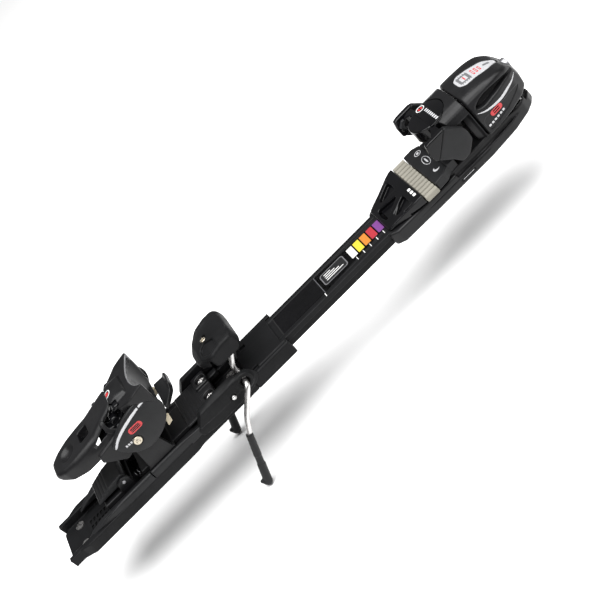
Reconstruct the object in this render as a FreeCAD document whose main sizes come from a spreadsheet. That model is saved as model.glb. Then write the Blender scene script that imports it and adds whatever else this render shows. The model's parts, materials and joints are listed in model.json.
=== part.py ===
import FreeCAD, Part
import math
import os
import re
import Sketcher

# A rail-mounted alpine ski binding, in millimetres.
# +X points to the toe, +Y to the skier's left, +Z up. The origin is the boot-centre mark on the ski's top.

V = FreeCAD.Vector
doc = FreeCAD.newDocument("alpine_binding")

SIZES = {
    "rail_rear": (-62, "rear end of the centre rail"),
    "rail_front": (200, "front end of the centre rail"),
    "rail_head_half": (21.5, "half width of the rail's T head"),
    "rail_stem_half": (17, "half width of the rail's stem"),
    "rail_lip": (8.5, "underside of the T head"),
    "rail_top": (14, "top of the rail"),
    "channel_half": (15.5, "half width of the channel in the rail's top"),
    "channel_floor": (13, "floor of that channel"),
    "glide": (0.3, "clearance between pieces that slide"),
    "running": (0.05, "radial clearance of a turning fit"),
    "slide_gap": (0.4, "side clearance of a carriage in the heel track"),
    "screw_radius": (2.75, "thread radius of a ski screw"),
    "screw_neck": (2.9, "radius of a ski screw's plain neck inside the binding"),
    "screw_head": (4.6, "head radius of a ski screw"),
    "screw_depth": (9.5, "length of a ski screw below the ski's top"),
    "front_screw_rear": (90, "rear pair of front ski screws"),
    "front_screw_front": (160, "front pair of front ski screws"),
    "front_screw_half": (9.5, "half spacing of the front ski screws across the ski"),
    "rear_screw_rear": (-304, "rear pair of rear ski screws"),
    "rear_screw_front": (-112, "front pair of rear ski screws"),
    "rear_screw_half": (14, "half spacing of the rear ski screws across the ski"),
    "label_rear": (0.5, "rear end of the size label"),
    "label_front": (110, "front end of the size label"),
    "label_thick": (0.4, "thickness of the size label"),
    "insert_rear": (-50.5, "rear end of the gloss insert in the channel"),
    "plate_rear": (-97, "rear face of the heel front plate"),
    "plate_front": (-51, "front face of the heel front plate"),
    "plate_top": (15.2, "top of the heel front plate"),
    "base_rear": (-322, "rear end of the heel base"),
    "base_half": (31.5, "half width of the heel base at the ski"),
    "base_waist": (29.3, "half width of the heel base beside the brake"),
    "base_floor": (3.5, "thickness of the heel base floor"),
    "wall_top": (12, "top of the heel base walls"),
    "track_half": (23, "half width of the heel track"),
    "lip_half": (19, "half width of the track's mouth between the side covers"),
    "cover_top": (15, "top of the side covers"),
    "deck_low": (15.4, "underside of the pieces that ride over the side covers"),
    "deck_top": (19, "top of the carriage decks"),
    "tower_rear": (-222, "rear face of the heel tower"),
    "tower_front": (-127, "front face of the heel tower"),
    "latch_front": (-231.5, "front face of the latch carriage"),
    "latch_rear": (-288, "rear face of the latch carriage"),
    "axle_x": (-198, "heel axle, along the ski"),
    "axle_z": (53, "heel axle, height"),
    "axle_radius": (4, "heel axle radius"),
    "ear_radius": (9, "radius of the ears round the axle"),
    "ear_inner": (21, "inner face of an ear"),
    "ear_outer": (26, "outer face of an ear"),
    "core_half": (20.6, "half width of the housing core"),
    "cheek_inner": (26.6, "inner face of a cheek"),
    "cheek_outer": (33.5, "outer face of a cheek"),
    "cheek_x": (-188, "cheek centre along the ski"),
    "cheek_z": (57.6, "cheek centre height"),
    "cheek_long": (31, "cheek half length"),
    "cheek_tall": (22.5, "cheek half height"),
    "cup_half": (31.5, "half width of the heel cup"),
    "bowl_x": (-129, "centre of the cup's round bowl"),
    "bowl_radius": (41, "radius of the bowl, which fits the back of a boot's heel"),
    "bowl_floor": (49, "floor of the bowl"),
    "lever_pin_x": (-201, "lever pin along the ski"),
    "lever_pin_z": (69, "lever pin height"),
    "lever_pin_radius": (2, "lever pin radius"),
    "latch_pin_x": (-238, "latch pin along the ski"),
    "latch_pin_z": (25, "latch pin height"),
    "latch_pin_radius": (1.75, "latch pin radius"),
    "wire_radius": (2.5, "brake wire radius"),
    "brake_x": (-100, "brake axis along the ski"),
    "brake_z": (20, "brake axis height"),
    "bracket_inner": (29.5, "inner face of a brake bracket"),
    "bracket_outer": (35.4, "outer face of a brake bracket"),
    "tip_radius": (4.2, "radius of a brake tip"),
    "pedal_x": (-83.5, "pedal crossbar along the ski"),
    "pedal_z": (52, "pedal crossbar height"),
    "pedal_half": (28, "half width of the pedal pad"),
    "toe_rear": (74, "rear end of the toe base"),
    "toe_front": (246, "front end of the toe base"),
    "toe_low": (0.5, "underside of the toe base, just clear of the ski"),
    "toe_rim": (14.5, "top of the toe base rim"),
    "toe_deck": (17, "top of the toe base deck"),
    "slot_front": (236, "front end of the slot that rides on the rail"),
    "pivot_x": (165.6, "jaw pivot along the ski"),
    "post_radius": (6, "jaw pivot post radius"),
    "hub_radius": (17, "radius of the jaw hub"),
    "jaw_top": (60, "top of the jaw"),
    "wing_inner": (30.2, "inner face of a jaw wing"),
    "wing_outer": (37, "outer face of a jaw wing"),
    "pad_rear": (118, "rear edge of the anti-friction pad"),
    "pad_front": (130.5, "front edge of the anti-friction pad"),
    "pad_half": (37, "half width of the anti-friction pad"),
    "rib_radius": (2.9, "radius of one rib on the anti-friction pad"),
    "rib_height": (20.6, "height of the ribs' centres"),
    "barrel_z": (38, "height of the toe spring's axis"),
    "barrel_radius": (11, "bore radius of the toe spring barrel"),
}

RACK_SLOTS = 7
RACK_PITCH = 4.2
RIBS = 12
RIB_PITCH = 6.1

sizes = doc.addObject("Spreadsheet::Sheet", "sizes")
for row, (name, (value, note)) in enumerate(SIZES.items(), start=1):
    sizes.set(f"A{row}", note)
    sizes.set(f"B{row}", str(value))
    sizes.setAlias(f"B{row}", name)
doc.recompute()

nodes = []


def bound(text):
    """An expression in which every size name points at its cell."""
    def cell(word):
        name = word.group()
        return "sizes." + name if name in SIZES else name
    return re.sub(r"[a-z_]+", cell, str(text))


def size(text):
    """The present value of an expression, in millimetres."""
    return float(sizes.evalExpression(bound(text)))


def node(piece, label):
    """Marks a finished sub-part, which is written to a file of its own."""
    piece.Label = label
    nodes.append(piece)
    return piece


def block(x, y, z):
    """A box between two planes on each axis."""
    piece = doc.addObject("Part::Box", "block")
    for axis, length, (low, high) in (("x", "Length", x), ("y", "Width", y), ("z", "Height", z)):
        piece.setExpression("Placement.Base." + axis, bound(low))
        piece.setExpression(length, bound(f"({high}) - ({low})"))
    return piece


TURNED = {
    "x": FreeCAD.Rotation(V(0, 1, 0), 90),
    "y": FreeCAD.Rotation(V(1, 0, 0), -90),
    "z": FreeCAD.Rotation(),
}


def rod(axis, radius, centre, low, high):
    """A cylinder along an axis; centre gives the other two coordinates in X, Y, Z order."""
    piece = doc.addObject("Part::Cylinder", "rod")
    piece.Placement = FreeCAD.Placement(V(), TURNED[axis])
    piece.setExpression("Radius", bound(radius))
    piece.setExpression("Height", bound(f"({high}) - ({low})"))
    across = [name for name in "xyz" if name != axis]
    for name, place in zip(across, centre):
        piece.setExpression("Placement.Base." + name, bound(place))
    piece.setExpression("Placement.Base." + axis, bound(low))
    return piece


PLANES = {"xy": "XY_Plane", "xz": "XZ_Plane", "yz": "YZ_Plane"}


def prism(plane, outline, low, high, rounded=()):
    """A closed outline padded from low to high; rounded pairs corner numbers with radii."""
    body = doc.addObject("PartDesign::Body", "prism")
    face = [item for item in body.Origin.OriginFeatures if item.Role == PLANES[plane]][0]
    sketch = body.newObject("Sketcher::SketchObject", "outline")
    sketch.AttachmentSupport = [(face, "")]
    sketch.MapMode = "FlatFace"
    corners = [(size(across), size(up)) for across, up in outline]
    count = len(corners)
    for index, (across, up) in enumerate(corners):
        after = corners[(index + 1) % count]
        sketch.addGeometry(Part.LineSegment(V(across, up, 0), V(after[0], after[1], 0)), False)
    for index in range(count):
        sketch.addConstraint(Sketcher.Constraint("Coincident", index, 2, (index + 1) % count, 1))
        for kind, place, text in zip(("DistanceX", "DistanceY"), corners[index], outline[index]):
            rule = sketch.addConstraint(Sketcher.Constraint(kind, index, 1, place))
            sketch.setExpression(f"Constraints[{rule}]", bound(text))
    start = f"-({high})" if plane == "xz" else low
    sketch.setExpression("AttachmentOffset.Base.z", bound(start))
    pad = body.newObject("PartDesign::Pad", "pad")
    pad.Profile = sketch
    pad.setExpression("Length", bound(f"({high}) - ({low})"))
    doc.recompute()
    for radius in sorted({radius for _, radius in rounded}):
        picked = [corners[index] for index, chosen in rounded if chosen == radius]
        names = standing_edges(body.Shape, plane, picked)
        sharp = body.Tip
        fillet = body.newObject("PartDesign::Fillet", "corners")
        fillet.Base = (sharp, names)
        fillet.Radius = radius
        body.Tip = fillet
        doc.recompute()
    return body


def standing_edges(shape, plane, corners):
    """Names of the edges that run along the pad's direction through the given corners."""
    names = []
    for number, edge in enumerate(shape.Edges, start=1):
        ends = [(getattr(end.Point, plane[0]), getattr(end.Point, plane[1])) for end in edge.Vertexes]
        for corner in corners:
            near = [abs(end[0] - corner[0]) + abs(end[1] - corner[1]) < 1e-4 for end in ends]
            if len(ends) == 2 and all(near):
                names.append(f"Edge{number}")
    return names


def oval_prism(centre, long, tall, low, high):
    """An upright oval plate between two planes across the ski; centre gives X and Z."""
    disc = doc.addObject("Part::Ellipse", "oval")
    disc.setExpression("MajorRadius", bound(long))
    disc.setExpression("MinorRadius", bound(tall))
    disc.Placement = FreeCAD.Placement(V(), FreeCAD.Rotation(V(1, 0, 0), 90))
    for name, place in zip("xyz", (centre[0], low, centre[1])):
        disc.setExpression("Placement.Base." + name, bound(place))
    solid = doc.addObject("Part::Extrusion", "oval_plate")
    solid.Base = disc
    solid.DirMode = "Custom"
    solid.Dir = V(0, 1, 0)
    solid.setExpression("LengthFwd", bound(f"({high}) - ({low})"))
    solid.Solid = True
    return solid


def fuse(*pieces):
    whole = doc.addObject("Part::MultiFuse", "fuse")
    whole.Shapes = list(pieces)
    return whole


def cut(base, *tools):
    """The base with every tool taken out of it."""
    whole = doc.addObject("Part::Cut", "cut")
    whole.Base = base
    whole.Tool = tools[0] if len(tools) == 1 else fuse(*tools)
    return whole


def common(first, second):
    whole = doc.addObject("Part::Common", "common")
    whole.Base = first
    whole.Tool = second
    return whole


def mirrored(piece):
    """A copy on the other side of the ski's middle plane."""
    whole = doc.addObject("Part::Mirroring", "mirrored")
    whole.Source = piece
    whole.Normal = V(0, 1, 0)
    return whole


def both_sides(outline):
    """A plan outline given from front to rear on the left, closed by its mirror image on the right."""
    return list(outline) + [(x, f"-({y})") for x, y in reversed(outline)]


def pair(piece, name):
    """A piece on the left and its mirror image on the right, as two sub-parts."""
    node(piece, name + "_left")
    node(mirrored(piece), name + "_right")


def spring(radius, wire, pitch, axis, centre, low, high):
    """A coil spring between two planes on an axis, made as a swept helix."""
    length = size(high) - size(low) - 2 * wire
    helix = Part.makeHelix(pitch, length, radius)
    ring = Part.Wire(Part.makeCircle(wire, V(radius, 0, 0), V(0, 1, 0)))
    coil = Part.Wire(helix).makePipeShell([ring], True, True)
    piece = doc.addObject("Part::Feature", "spring")
    piece.Shape = coil
    piece.Placement = FreeCAD.Placement(V(*[size(place) for place in centre]), TURNED[axis])
    return piece


def bent_wire(points, radius, bend):
    """A round wire along straight runs joined by tangent arcs."""
    edges = []
    start = points[0]
    for before, corner, after in zip(points, points[1:], points[2:]):
        inward = (before - corner).normalize()
        outward = (after - corner).normalize()
        half = inward.getAngle(outward) / 2
        reach = bend / math.tan(half)
        first = corner + inward * reach
        last = corner + outward * reach
        middle = (inward + outward).normalize()
        apex = corner + middle * (bend / math.sin(half) - bend)
        edges.append(Part.LineSegment(start, first).toShape())
        edges.append(Part.Arc(first, apex, last).toShape())
        start = last
    edges.append(Part.LineSegment(start, points[-1]).toShape())
    path = Part.Wire(edges)
    ring = Part.Wire(Part.makeCircle(radius, points[0], points[1] - points[0]))
    piece = doc.addObject("Part::Feature", "bent_wire")
    piece.Shape = path.makePipeShell([ring], True, True)
    return piece


def ski_screws(places, half, seat, head_top, mouth):
    """Screws into the ski at some places along it, on both sides, and the stepped holes that they fill."""
    screws = []
    holes = []
    for x in places:
        for y in (f"-{half}", half):
            thread = rod("z", "screw_radius", (x, y), "-screw_depth", 0)
            neck = rod("z", "screw_neck", (x, y), 0, seat)
            head = rod("z", "screw_head", (x, y), seat, head_top)
            screws.append(fuse(thread, neck, head))
            holes.append(rod("z", "screw_neck", (x, y), -1, seat))
            holes.append(rod("z", "screw_head", (x, y), seat, mouth))
    return screws, holes


def rail():
    """The T-section rail with its shallow top channel, the inlays in it and the screws through it."""
    profile = [
        ("-rail_stem_half", 0), ("rail_stem_half", 0), ("rail_stem_half", "rail_lip"),
        ("rail_head_half", "rail_lip"), ("rail_head_half", "rail_top"), ("channel_half", "rail_top"),
        ("channel_half", "channel_floor"), ("-channel_half", "channel_floor"), ("-channel_half", "rail_top"),
        ("-rail_head_half", "rail_top"), ("-rail_head_half", "rail_lip"), ("-rail_stem_half", "rail_lip"),
    ]
    track = prism("yz", profile, "rail_rear", "rail_front")
    screws, holes = ski_screws(("front_screw_rear", "front_screw_front"), "front_screw_half",
                               "channel_floor - 4", "channel_floor - 0.6", "rail_top")
    node(cut(track, *holes), "centre_rail")
    node(fuse(*screws), "front_ski_screws")
    side = ("-channel_half + 0.3", "channel_half - 0.3")
    thick = ("channel_floor", "channel_floor + label_thick")
    label = block(("label_rear", "label_front"), side, thick)
    seats = [rod("z", "screw_head", ("front_screw_rear", y), "0", "rail_top")
             for y in ("-front_screw_half", "front_screw_half")]
    node(cut(label, *seats), "size_label")
    node(block(("insert_rear", "label_rear - 0.3"), side, thick), "channel_insert")


def heel_base():
    """The front plate, the U-shaped track, its side covers, the toothed rack and the brake brackets."""
    half_profile = [(29.3, 0), (28.7, 13), (27, "plate_top")]
    outline = half_profile + [(f"-{y}", z) for y, z in reversed(half_profile)]
    plate = prism("yz", outline, "plate_rear", "plate_front")
    room = block(("rail_rear - 0.2", "plate_front + 1"), ("-rail_head_half - 0.2", "rail_head_half + 0.2"),
                 (-1, "rail_top + 0.2"))
    notches = [block((-90, -84), (y - 3, y + 3), ("plate_top - 1.5", "plate_top + 1")) for y in (-19, 19)]
    node(cut(plate, room, *notches), "heel_front_plate")

    plan = both_sides([("plate_rear - 0.05", "base_waist"), (-168, "base_waist"), (-171, "base_half"),
                       (-300, "base_half"), ("base_rear", 21)])
    tray = prism("xy", plan, 0, "wall_top")
    trough = block(("base_rear - 1", "plate_rear + 1"), ("-track_half", "track_half"),
                   ("base_floor", "wall_top + 1"))
    screws, holes = ski_screws(("rear_screw_rear", "rear_screw_front"), "rear_screw_half",
                               "base_floor - 1.5", "base_floor + 0.9", "base_floor + 1")
    node(cut(tray, trough, *holes), "heel_base")
    node(fuse(*screws), "rear_ski_screws")

    cover_plan = [(-120, "lip_half"), (-120, "base_waist"), (-168, "base_waist"), (-171, 31),
                  (-240, 31), (-275, 28.5), (-300, 21.5), (-300, "lip_half")]
    pair(prism("xy", cover_plan, "wall_top", "cover_top"), "side_cover")

    rack = block((-296, -134), (-9, 9), ("base_floor", "base_floor + 1.2"))
    slots = []
    for index in range(RACK_SLOTS):
        x = -293 + index * RACK_PITCH
        for y in (-6.5, 1.5):
            slots.append(block((x, x + 2.4), (y, y + 5), (0, 10)))
    node(cut(rack, *slots), "toothed_rack")

    side = [(-166, 9), (-158, 16), (-140, 22), (-114, 27), (-96, 28.5), (-88, 24), (-87, 14), (-95, 7),
            (-150, 5)]
    ring = prism("xz", side, "bracket_inner", "bracket_outer",
                 rounded=[(3, 6), (4, 5), (5, 5), (6, 5), (7, 5), (8, 3), (0, 3)])
    eye = rod("y", "wire_radius + running", ("brake_x", "brake_z"), "bracket_inner - 1", "bracket_outer + 1")
    rivet_seat = rod("y", 2.2, (-117, 16), "bracket_outer - 1.2", "bracket_outer + 1")
    pair(cut(ring, eye, rivet_seat), "brake_bracket")
    rivet = rod("y", 2.2, (-117, 16), "bracket_outer - 1.2", "bracket_outer + 0.5")
    node(fuse(rivet, mirrored(rivet)), "bracket_rivets")


def track_foot(rear, front):
    """The foot of a carriage in the heel track: a flange under the covers and a neck between them."""
    flange = block((rear, front), ("-track_half + slide_gap", "track_half - slide_gap"),
                   ("base_floor + 1.5", "wall_top - glide"))
    neck = block((rear, front), ("-lip_half + slide_gap", "lip_half - slide_gap"),
                 ("wall_top - 1", "deck_low"))
    return fuse(flange, neck)


def latch_carriage():
    """The carriage that locks into the rack, its forward-pressure spring, and the lever that frees it."""
    foot = track_foot("latch_rear", "latch_front")
    deck = block(("latch_rear", "latch_front"), (-26, 26), ("deck_low", "deck_top"))
    side = [(-286, 19), (-232, 19), (-232, 28), (-244, 28.5), (-272, 25.5), (-286, 21)]
    wall = prism("xz", side, 19, 26)
    pin_room = rod("y", "latch_pin_radius + running", ("latch_pin_x", "latch_pin_z"), -27, 27)
    hollow = rod("x", 4.6, (0, 8.6), -272, "latch_front + 1")
    window = block((-281, -252), (-10, 10), (4, 20))
    node(cut(fuse(foot, deck, wall, mirrored(wall)), pin_room, hollow, window), "latch_carriage")
    node(rod("y", "latch_pin_radius", ("latch_pin_x", "latch_pin_z"), -26, 26), "latch_pin")

    side = [(-234, 22.5), (-233, 28), (-236, 31.5), (-252, 29.5), (-268, 25), (-269, 21.5), (-258, 22.5),
            (-246, 22.5)]
    paddle = prism("xz", side, -16, 16, rounded=[(1, 3), (2, 2), (4, 1.5)])
    pin_bore = rod("y", "latch_pin_radius + running", ("latch_pin_x", "latch_pin_z"), -17, 17)
    node(cut(paddle, pin_bore), "latch_lever")
    side = [(-269.5, 21), (-265, 21.5), (-262.5, 17), (-264, 16.5), (-267, 20), (-270, 19.6)]
    node(prism("xz", side, -8, 8), "latch_clip")
    node(spring(3.1, 0.6, 3.4, "x", (-267, 0, 8.6), 0, 44), "pressure_spring")


def heel_tower():
    """The sliding tower: two ears that carry the axle, the cam on it, and the pad under the boot's heel."""
    foot = track_foot("tower_rear", -130)
    deck = block(("tower_rear", "tower_front"), (-27, 27), ("deck_low", "deck_top"))
    side = [(-211, "deck_top - 1"), (-187, "deck_top - 1"), ("axle_x + ear_radius", "axle_z"),
            ("axle_x", "axle_z + 0.01"), ("axle_x - ear_radius", "axle_z")]
    ear = fuse(prism("xz", side, "ear_inner", "ear_outer"),
               rod("y", "ear_radius", ("axle_x", "axle_z"), "ear_inner", "ear_outer"))
    bore = rod("y", "axle_radius + running", ("axle_x", "axle_z"), "-ear_outer - 1", "ear_outer + 1")
    node(cut(fuse(foot, deck, ear, mirrored(ear)), bore), "heel_tower")
    axle = rod("y", "axle_radius", ("axle_x", "axle_z"), -31, 31)
    node(axle, "heel_axle")
    cam = rod("y", 7.5, ("axle_x", "axle_z"), -8, 8)
    node(cut(cam, rod("y", "axle_radius", ("axle_x", "axle_z"), -9, 9)), "heel_cam")

    pad = block((-164, "tower_front"), (-29, 29), ("deck_top", 28.5))
    tread_room = block((-170, -142), (-23, 23), (21, 30))
    screw_room = block((-143, -120), (-20, 20), (21, 30))
    screws = []
    seats = []
    for y in (-14, 14):
        screws.append(rod("z", 4.8, (-133, y), 19.5, 22.4))
        seats.append(rod("z", 4.8, (-133, y), 19.5, 30))
    node(cut(pad, tread_room, screw_room, *seats), "heel_pad")
    node(fuse(*screws), "heel_pad_screws")


def heel_housing():
    """The tilting heel housing: core with spring barrel, cheeks, cup and tread spur."""
    side = [(-224, 63), (-222, 43.5), (-207, 37), (-186, 35), (-174, 41), (-170, 48.8), (-187, 48.8),
            (-187, 85), (-191, 85.5), (-199, 79), (-224, 66)]
    core = prism("xz", side, "-core_half", "core_half")
    axle_bore = rod("y", "axle_radius + running", ("axle_x", "axle_z"), "-core_half - 1", "core_half + 1")
    cam_room = rod("y", 8.2, ("axle_x", "axle_z"), -8.5, 8.5)
    barrel = rod("x", 7, (0, "axle_z"), -230, "axle_x - 3")
    window = prism("xz", [(-208, 76), (-198, 82), (-190, 79), (-196, 73), (-206, 72.5)], 9, 22)
    pin_bore = rod("y", "lever_pin_radius + running", ("lever_pin_x", "lever_pin_z"), -22, 22)
    node(cut(core, axle_bore, cam_room, barrel, window, mirrored(window), pin_bore), "housing_core")

    oval = oval_prism(("cheek_x", "cheek_z"), "cheek_long", "cheek_tall", "cheek_inner", "cheek_outer")
    axle_seat = rod("y", "axle_radius + running", ("axle_x", "axle_z"), "cheek_inner - 1", 31.1)
    screw_seat = rod("y", 4.6, ("axle_x", "axle_z"), "cheek_outer - 1.5", "cheek_outer + 1")
    pair(cut(oval, axle_seat, screw_seat), "cheek")
    screw = rod("y", 4.6, ("axle_x", "axle_z"), "cheek_outer - 1.5", "cheek_outer + 0.4")
    node(fuse(screw, mirrored(screw)), "cheek_screws")

    side = [(-191, 49), (-186.8, 49), (-172, 43), (-163, 48), (-160, 58), (-158.5, 89.6), (-166, 89),
            (-190, 84)]
    shell = prism("xz", side, "-cup_half", "cup_half")
    plan = both_sides([(-158, 31.5), (-178, 31.5), (-192, 23)])
    shell = common(shell, prism("xy", plan, 30, 100))
    oval_room = oval_prism(("cheek_x", "cheek_z"), "cheek_long", "cheek_tall", "cheek_inner", "cup_half + 1")
    ear_room = block((-200, -182), ("core_half", "cheek_inner"), (30, 63))
    core_room = block((-200, -187), ("-core_half", "core_half"), (30, 85.5))
    nose_room = block((-190, -169), ("-core_half", "core_half"), (30, 48.9))
    bowl = rod("z", "bowl_radius", ("bowl_x", 0), "bowl_floor", 100)
    rooms = (oval_room, mirrored(oval_room), ear_room, mirrored(ear_room), core_room, nose_room, bowl)
    node(cut(shell, *rooms), "heel_cup")

    plan = both_sides([(-148, 17), (-152, 21), (-162.6, 22)])
    spur = common(prism("xy", plan, 44, "bowl_floor + 4"),
                  prism("xz", [(-162.6, 44.5), (-150, 46), (-147.5, 52), (-150, 53), (-162.6, 49)], -25, 25))
    node(spur, "tread_spur")

    node(rod("x", 6.9, (0, "axle_z"), -210.5, -205.7), "heel_piston")
    node(spring(5, 0.9, 2.6, "x", (-218.1, 0, "axle_z"), 0, 8.5), "heel_spring")
    screw = rod("x", 6.9, (0, "axle_z"), -225.5, -219)
    slot = block((-226, -224), (-5, 5), ("axle_z - 0.9", "axle_z + 0.9"))
    node(cut(screw, slot), "heel_release_screw")


def heel_lever():
    """The release lever that straddles the housing, and its pin."""
    side = [(-193.5, 88), (-190.5, 83), (-194, 74), (-197, 64.5), (-226, 58.5), (-246.5, 55), (-262, 57.5),
            (-272, 62), (-275.5, 68), (-271, 72), (-247, 75), (-224, 78)]
    whole = prism("xz", side, -26, 26, rounded=[(6, 8), (7, 6), (8, 3), (9, 4)])
    plan = both_sides([(-188, 25.5), (-226, 25.5), (-250, 21), (-262, 17), (-272, 11), (-276, 5)])
    whole = common(whole, prism("xy", plan, 40, 100))
    core_room = prism("xz", [(-229, 50), (-229, 71), (-200, 82), (-186, 90), (-186, 50)],
                      "-core_half - 0.4", "core_half + 0.4")
    slot = block((-242, -231), (-8, 8), (50, 90))
    window = prism("xz", [(-211, 74), (-196, 90), (-186, 90), (-186, 75), (-196, 70), (-206, 69)], 20, 30)
    pin_bore = rod("y", "lever_pin_radius", ("lever_pin_x", "lever_pin_z"), -30, 30)
    node(cut(whole, core_room, slot, window, mirrored(window), pin_bore), "heel_lever")
    node(rod("y", "lever_pin_radius", ("lever_pin_x", "lever_pin_z"), -25, 25), "lever_pin")


def brake():
    """The bent wire arms with their plastic tips, and the pedal that the boot treads down."""
    knee = V(size("pedal_x"), 0, size("pedal_z"))
    axis = V(size("brake_x"), 0, size("brake_z"))
    route = [
        knee,
        V(knee.x, -19, knee.z),
        V(axis.x, -21, axis.z + 10),
        V(axis.x, -21, axis.z),
        V(axis.x, -41, axis.z),
        V(-122, -43, -2),
        V(-133, -45, -18),
        V(-140, -46, -33),
    ]
    wire = bent_wire(route, size("wire_radius"), 4)
    node(fuse(wire, mirrored(wire)), "brake_arms")
    start = V(-131.5, -45, -15.5)
    tip_axis = V(-153, -46, -65) - start
    tip = doc.addObject("Part::Feature", "tip")
    tip.Shape = Part.makeCylinder(size("tip_radius"), tip_axis.Length, start, tip_axis)
    tip_end = doc.addObject("Part::Sphere", "tip_end")
    tip_end.setExpression("Radius", bound("tip_radius"))
    tip_end.Placement.Base = start + tip_axis
    right_tip = cut(fuse(tip, tip_end), wire)
    node(right_tip, "brake_tip_right")
    node(mirrored(right_tip), "brake_tip_left")
    side = [(-97.5, 30), (-92, 31), (-84, 44), (-89, 48)]
    slab = prism("xz", side, -17.5, 17.5)
    node(cut(slab, wire, mirrored(wire)), "pedal_carrier")

    side = [(-121.5, 44), (-119, 41.5), (-112, 43.5), (-84, 42.5), (-77, 44.5), (-75.5, 52), (-78, 60),
            (-84, 62.5), (-92, 62.5), (-103, 58.5), (-114, 53.5), (-120.5, 48.5)]
    pad = common(prism("xz", side, "-pedal_half", "pedal_half"),
                 prism("xy", both_sides([(-75, 22), (-82, 28), (-111, 28), (-122, 20)]), 30, 80))
    room = prism("xz", [(-111, 30), (-111, 50.5), (-102, 54), (-92, 58), (-80, 58), (-80, 30)],
                 "-pedal_half + 3.8", "pedal_half - 3.8")
    lug = fuse(rod("y", 5, ("pedal_x", "pedal_z"), 7, 13),
               block(("pedal_x - 5", "pedal_x + 4.5"), (7, 13), ("pedal_z", 60)))
    seat = rod("z", 2.6, (-102, 0), 52, 70)
    crossbar = rod("y", "wire_radius + running", ("pedal_x", "pedal_z"), -20, 20)
    node(cut(fuse(cut(pad, room), lug, mirrored(lug)), seat, crossbar), "pedal_pad")
    node(rod("z", 2.6, (-102, 0), 54, 58.4), "pedal_screw")


def toe_carriage():
    """The boat-shaped carrier that slides on the rail, with its ramp, pad guide, sole plate and post."""
    plan = both_sides([("toe_front", 8), (241, 15), (233, 21), (215, 27), (185, 30.5), (126, 30.5),
                       (82, 29.5), ("toe_rear", 24)])
    hull = prism("xy", plan, "toe_low", "toe_rim", rounded=[(6, 12), (9, 12), (7, 4), (8, 4)])
    deck_plan = both_sides([(241, 10), (232, 18), (214, 24), (185, 26.5), (100, 26.5)])
    deck = prism("xy", deck_plan, "toe_rim - 0.2", "toe_deck")
    stem_room = block(("toe_rear - 1", "slot_front"), ("-rail_stem_half - glide", "rail_stem_half + glide"),
                      (0, 12))
    head_room = block(("toe_rear - 1", "slot_front"), ("-rail_head_half - glide", "rail_head_half + glide"),
                      ("rail_lip - glide", "rail_top + glide"))
    clip_room = block((151, 166), (29.5, 32), (4.2, 6.6))
    rooms = (stem_room, head_room, clip_room, mirrored(clip_room))
    node(cut(fuse(hull, deck), *rooms), "toe_base")
    clip = block((151, 166), (29.5, 30.4), (4.2, 6.6))
    node(fuse(clip, mirrored(clip)), "lock_clips")

    side = [(77, "toe_rim"), (100, "toe_rim"), (100, "toe_deck"), (117.3, "toe_deck"), (117.3, 25.8),
            (113, 25.8), (84, 19), (77.5, 17)]
    plan = both_sides([(118, 34), (108, 32), (92, 26), (77, 22)])
    node(common(prism("xz", side, -35, 35), prism("xy", plan, 10, 30)), "toe_ramp")
    node(block((120, 128.5), (-24, 24), ("toe_deck", 19.6)), "pad_guide")
    side = [(131.2, "toe_deck"), (158, "toe_deck"), (158, 25.6), (150, 26.4), (131.2, 25)]
    plan = both_sides([(158, 26), (150, 27), (142, 33), (131, 34)])
    plate = common(prism("xz", side, -35, 35), prism("xy", plan, 10, 30))
    seats = []
    screws = []
    for y in (-17, 17):
        seats.append(rod("z", 4.4, (144, y), 20, 30))
        screws.append(rod("z", 4.4, (144, y), 20, 24.6))
    node(cut(plate, *seats), "sole_plate")
    node(fuse(*screws), "sole_plate_screws")
    node(rod("z", "post_radius", ("pivot_x", 0), "toe_deck", "jaw_top - 4"), "pivot_post")


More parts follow.
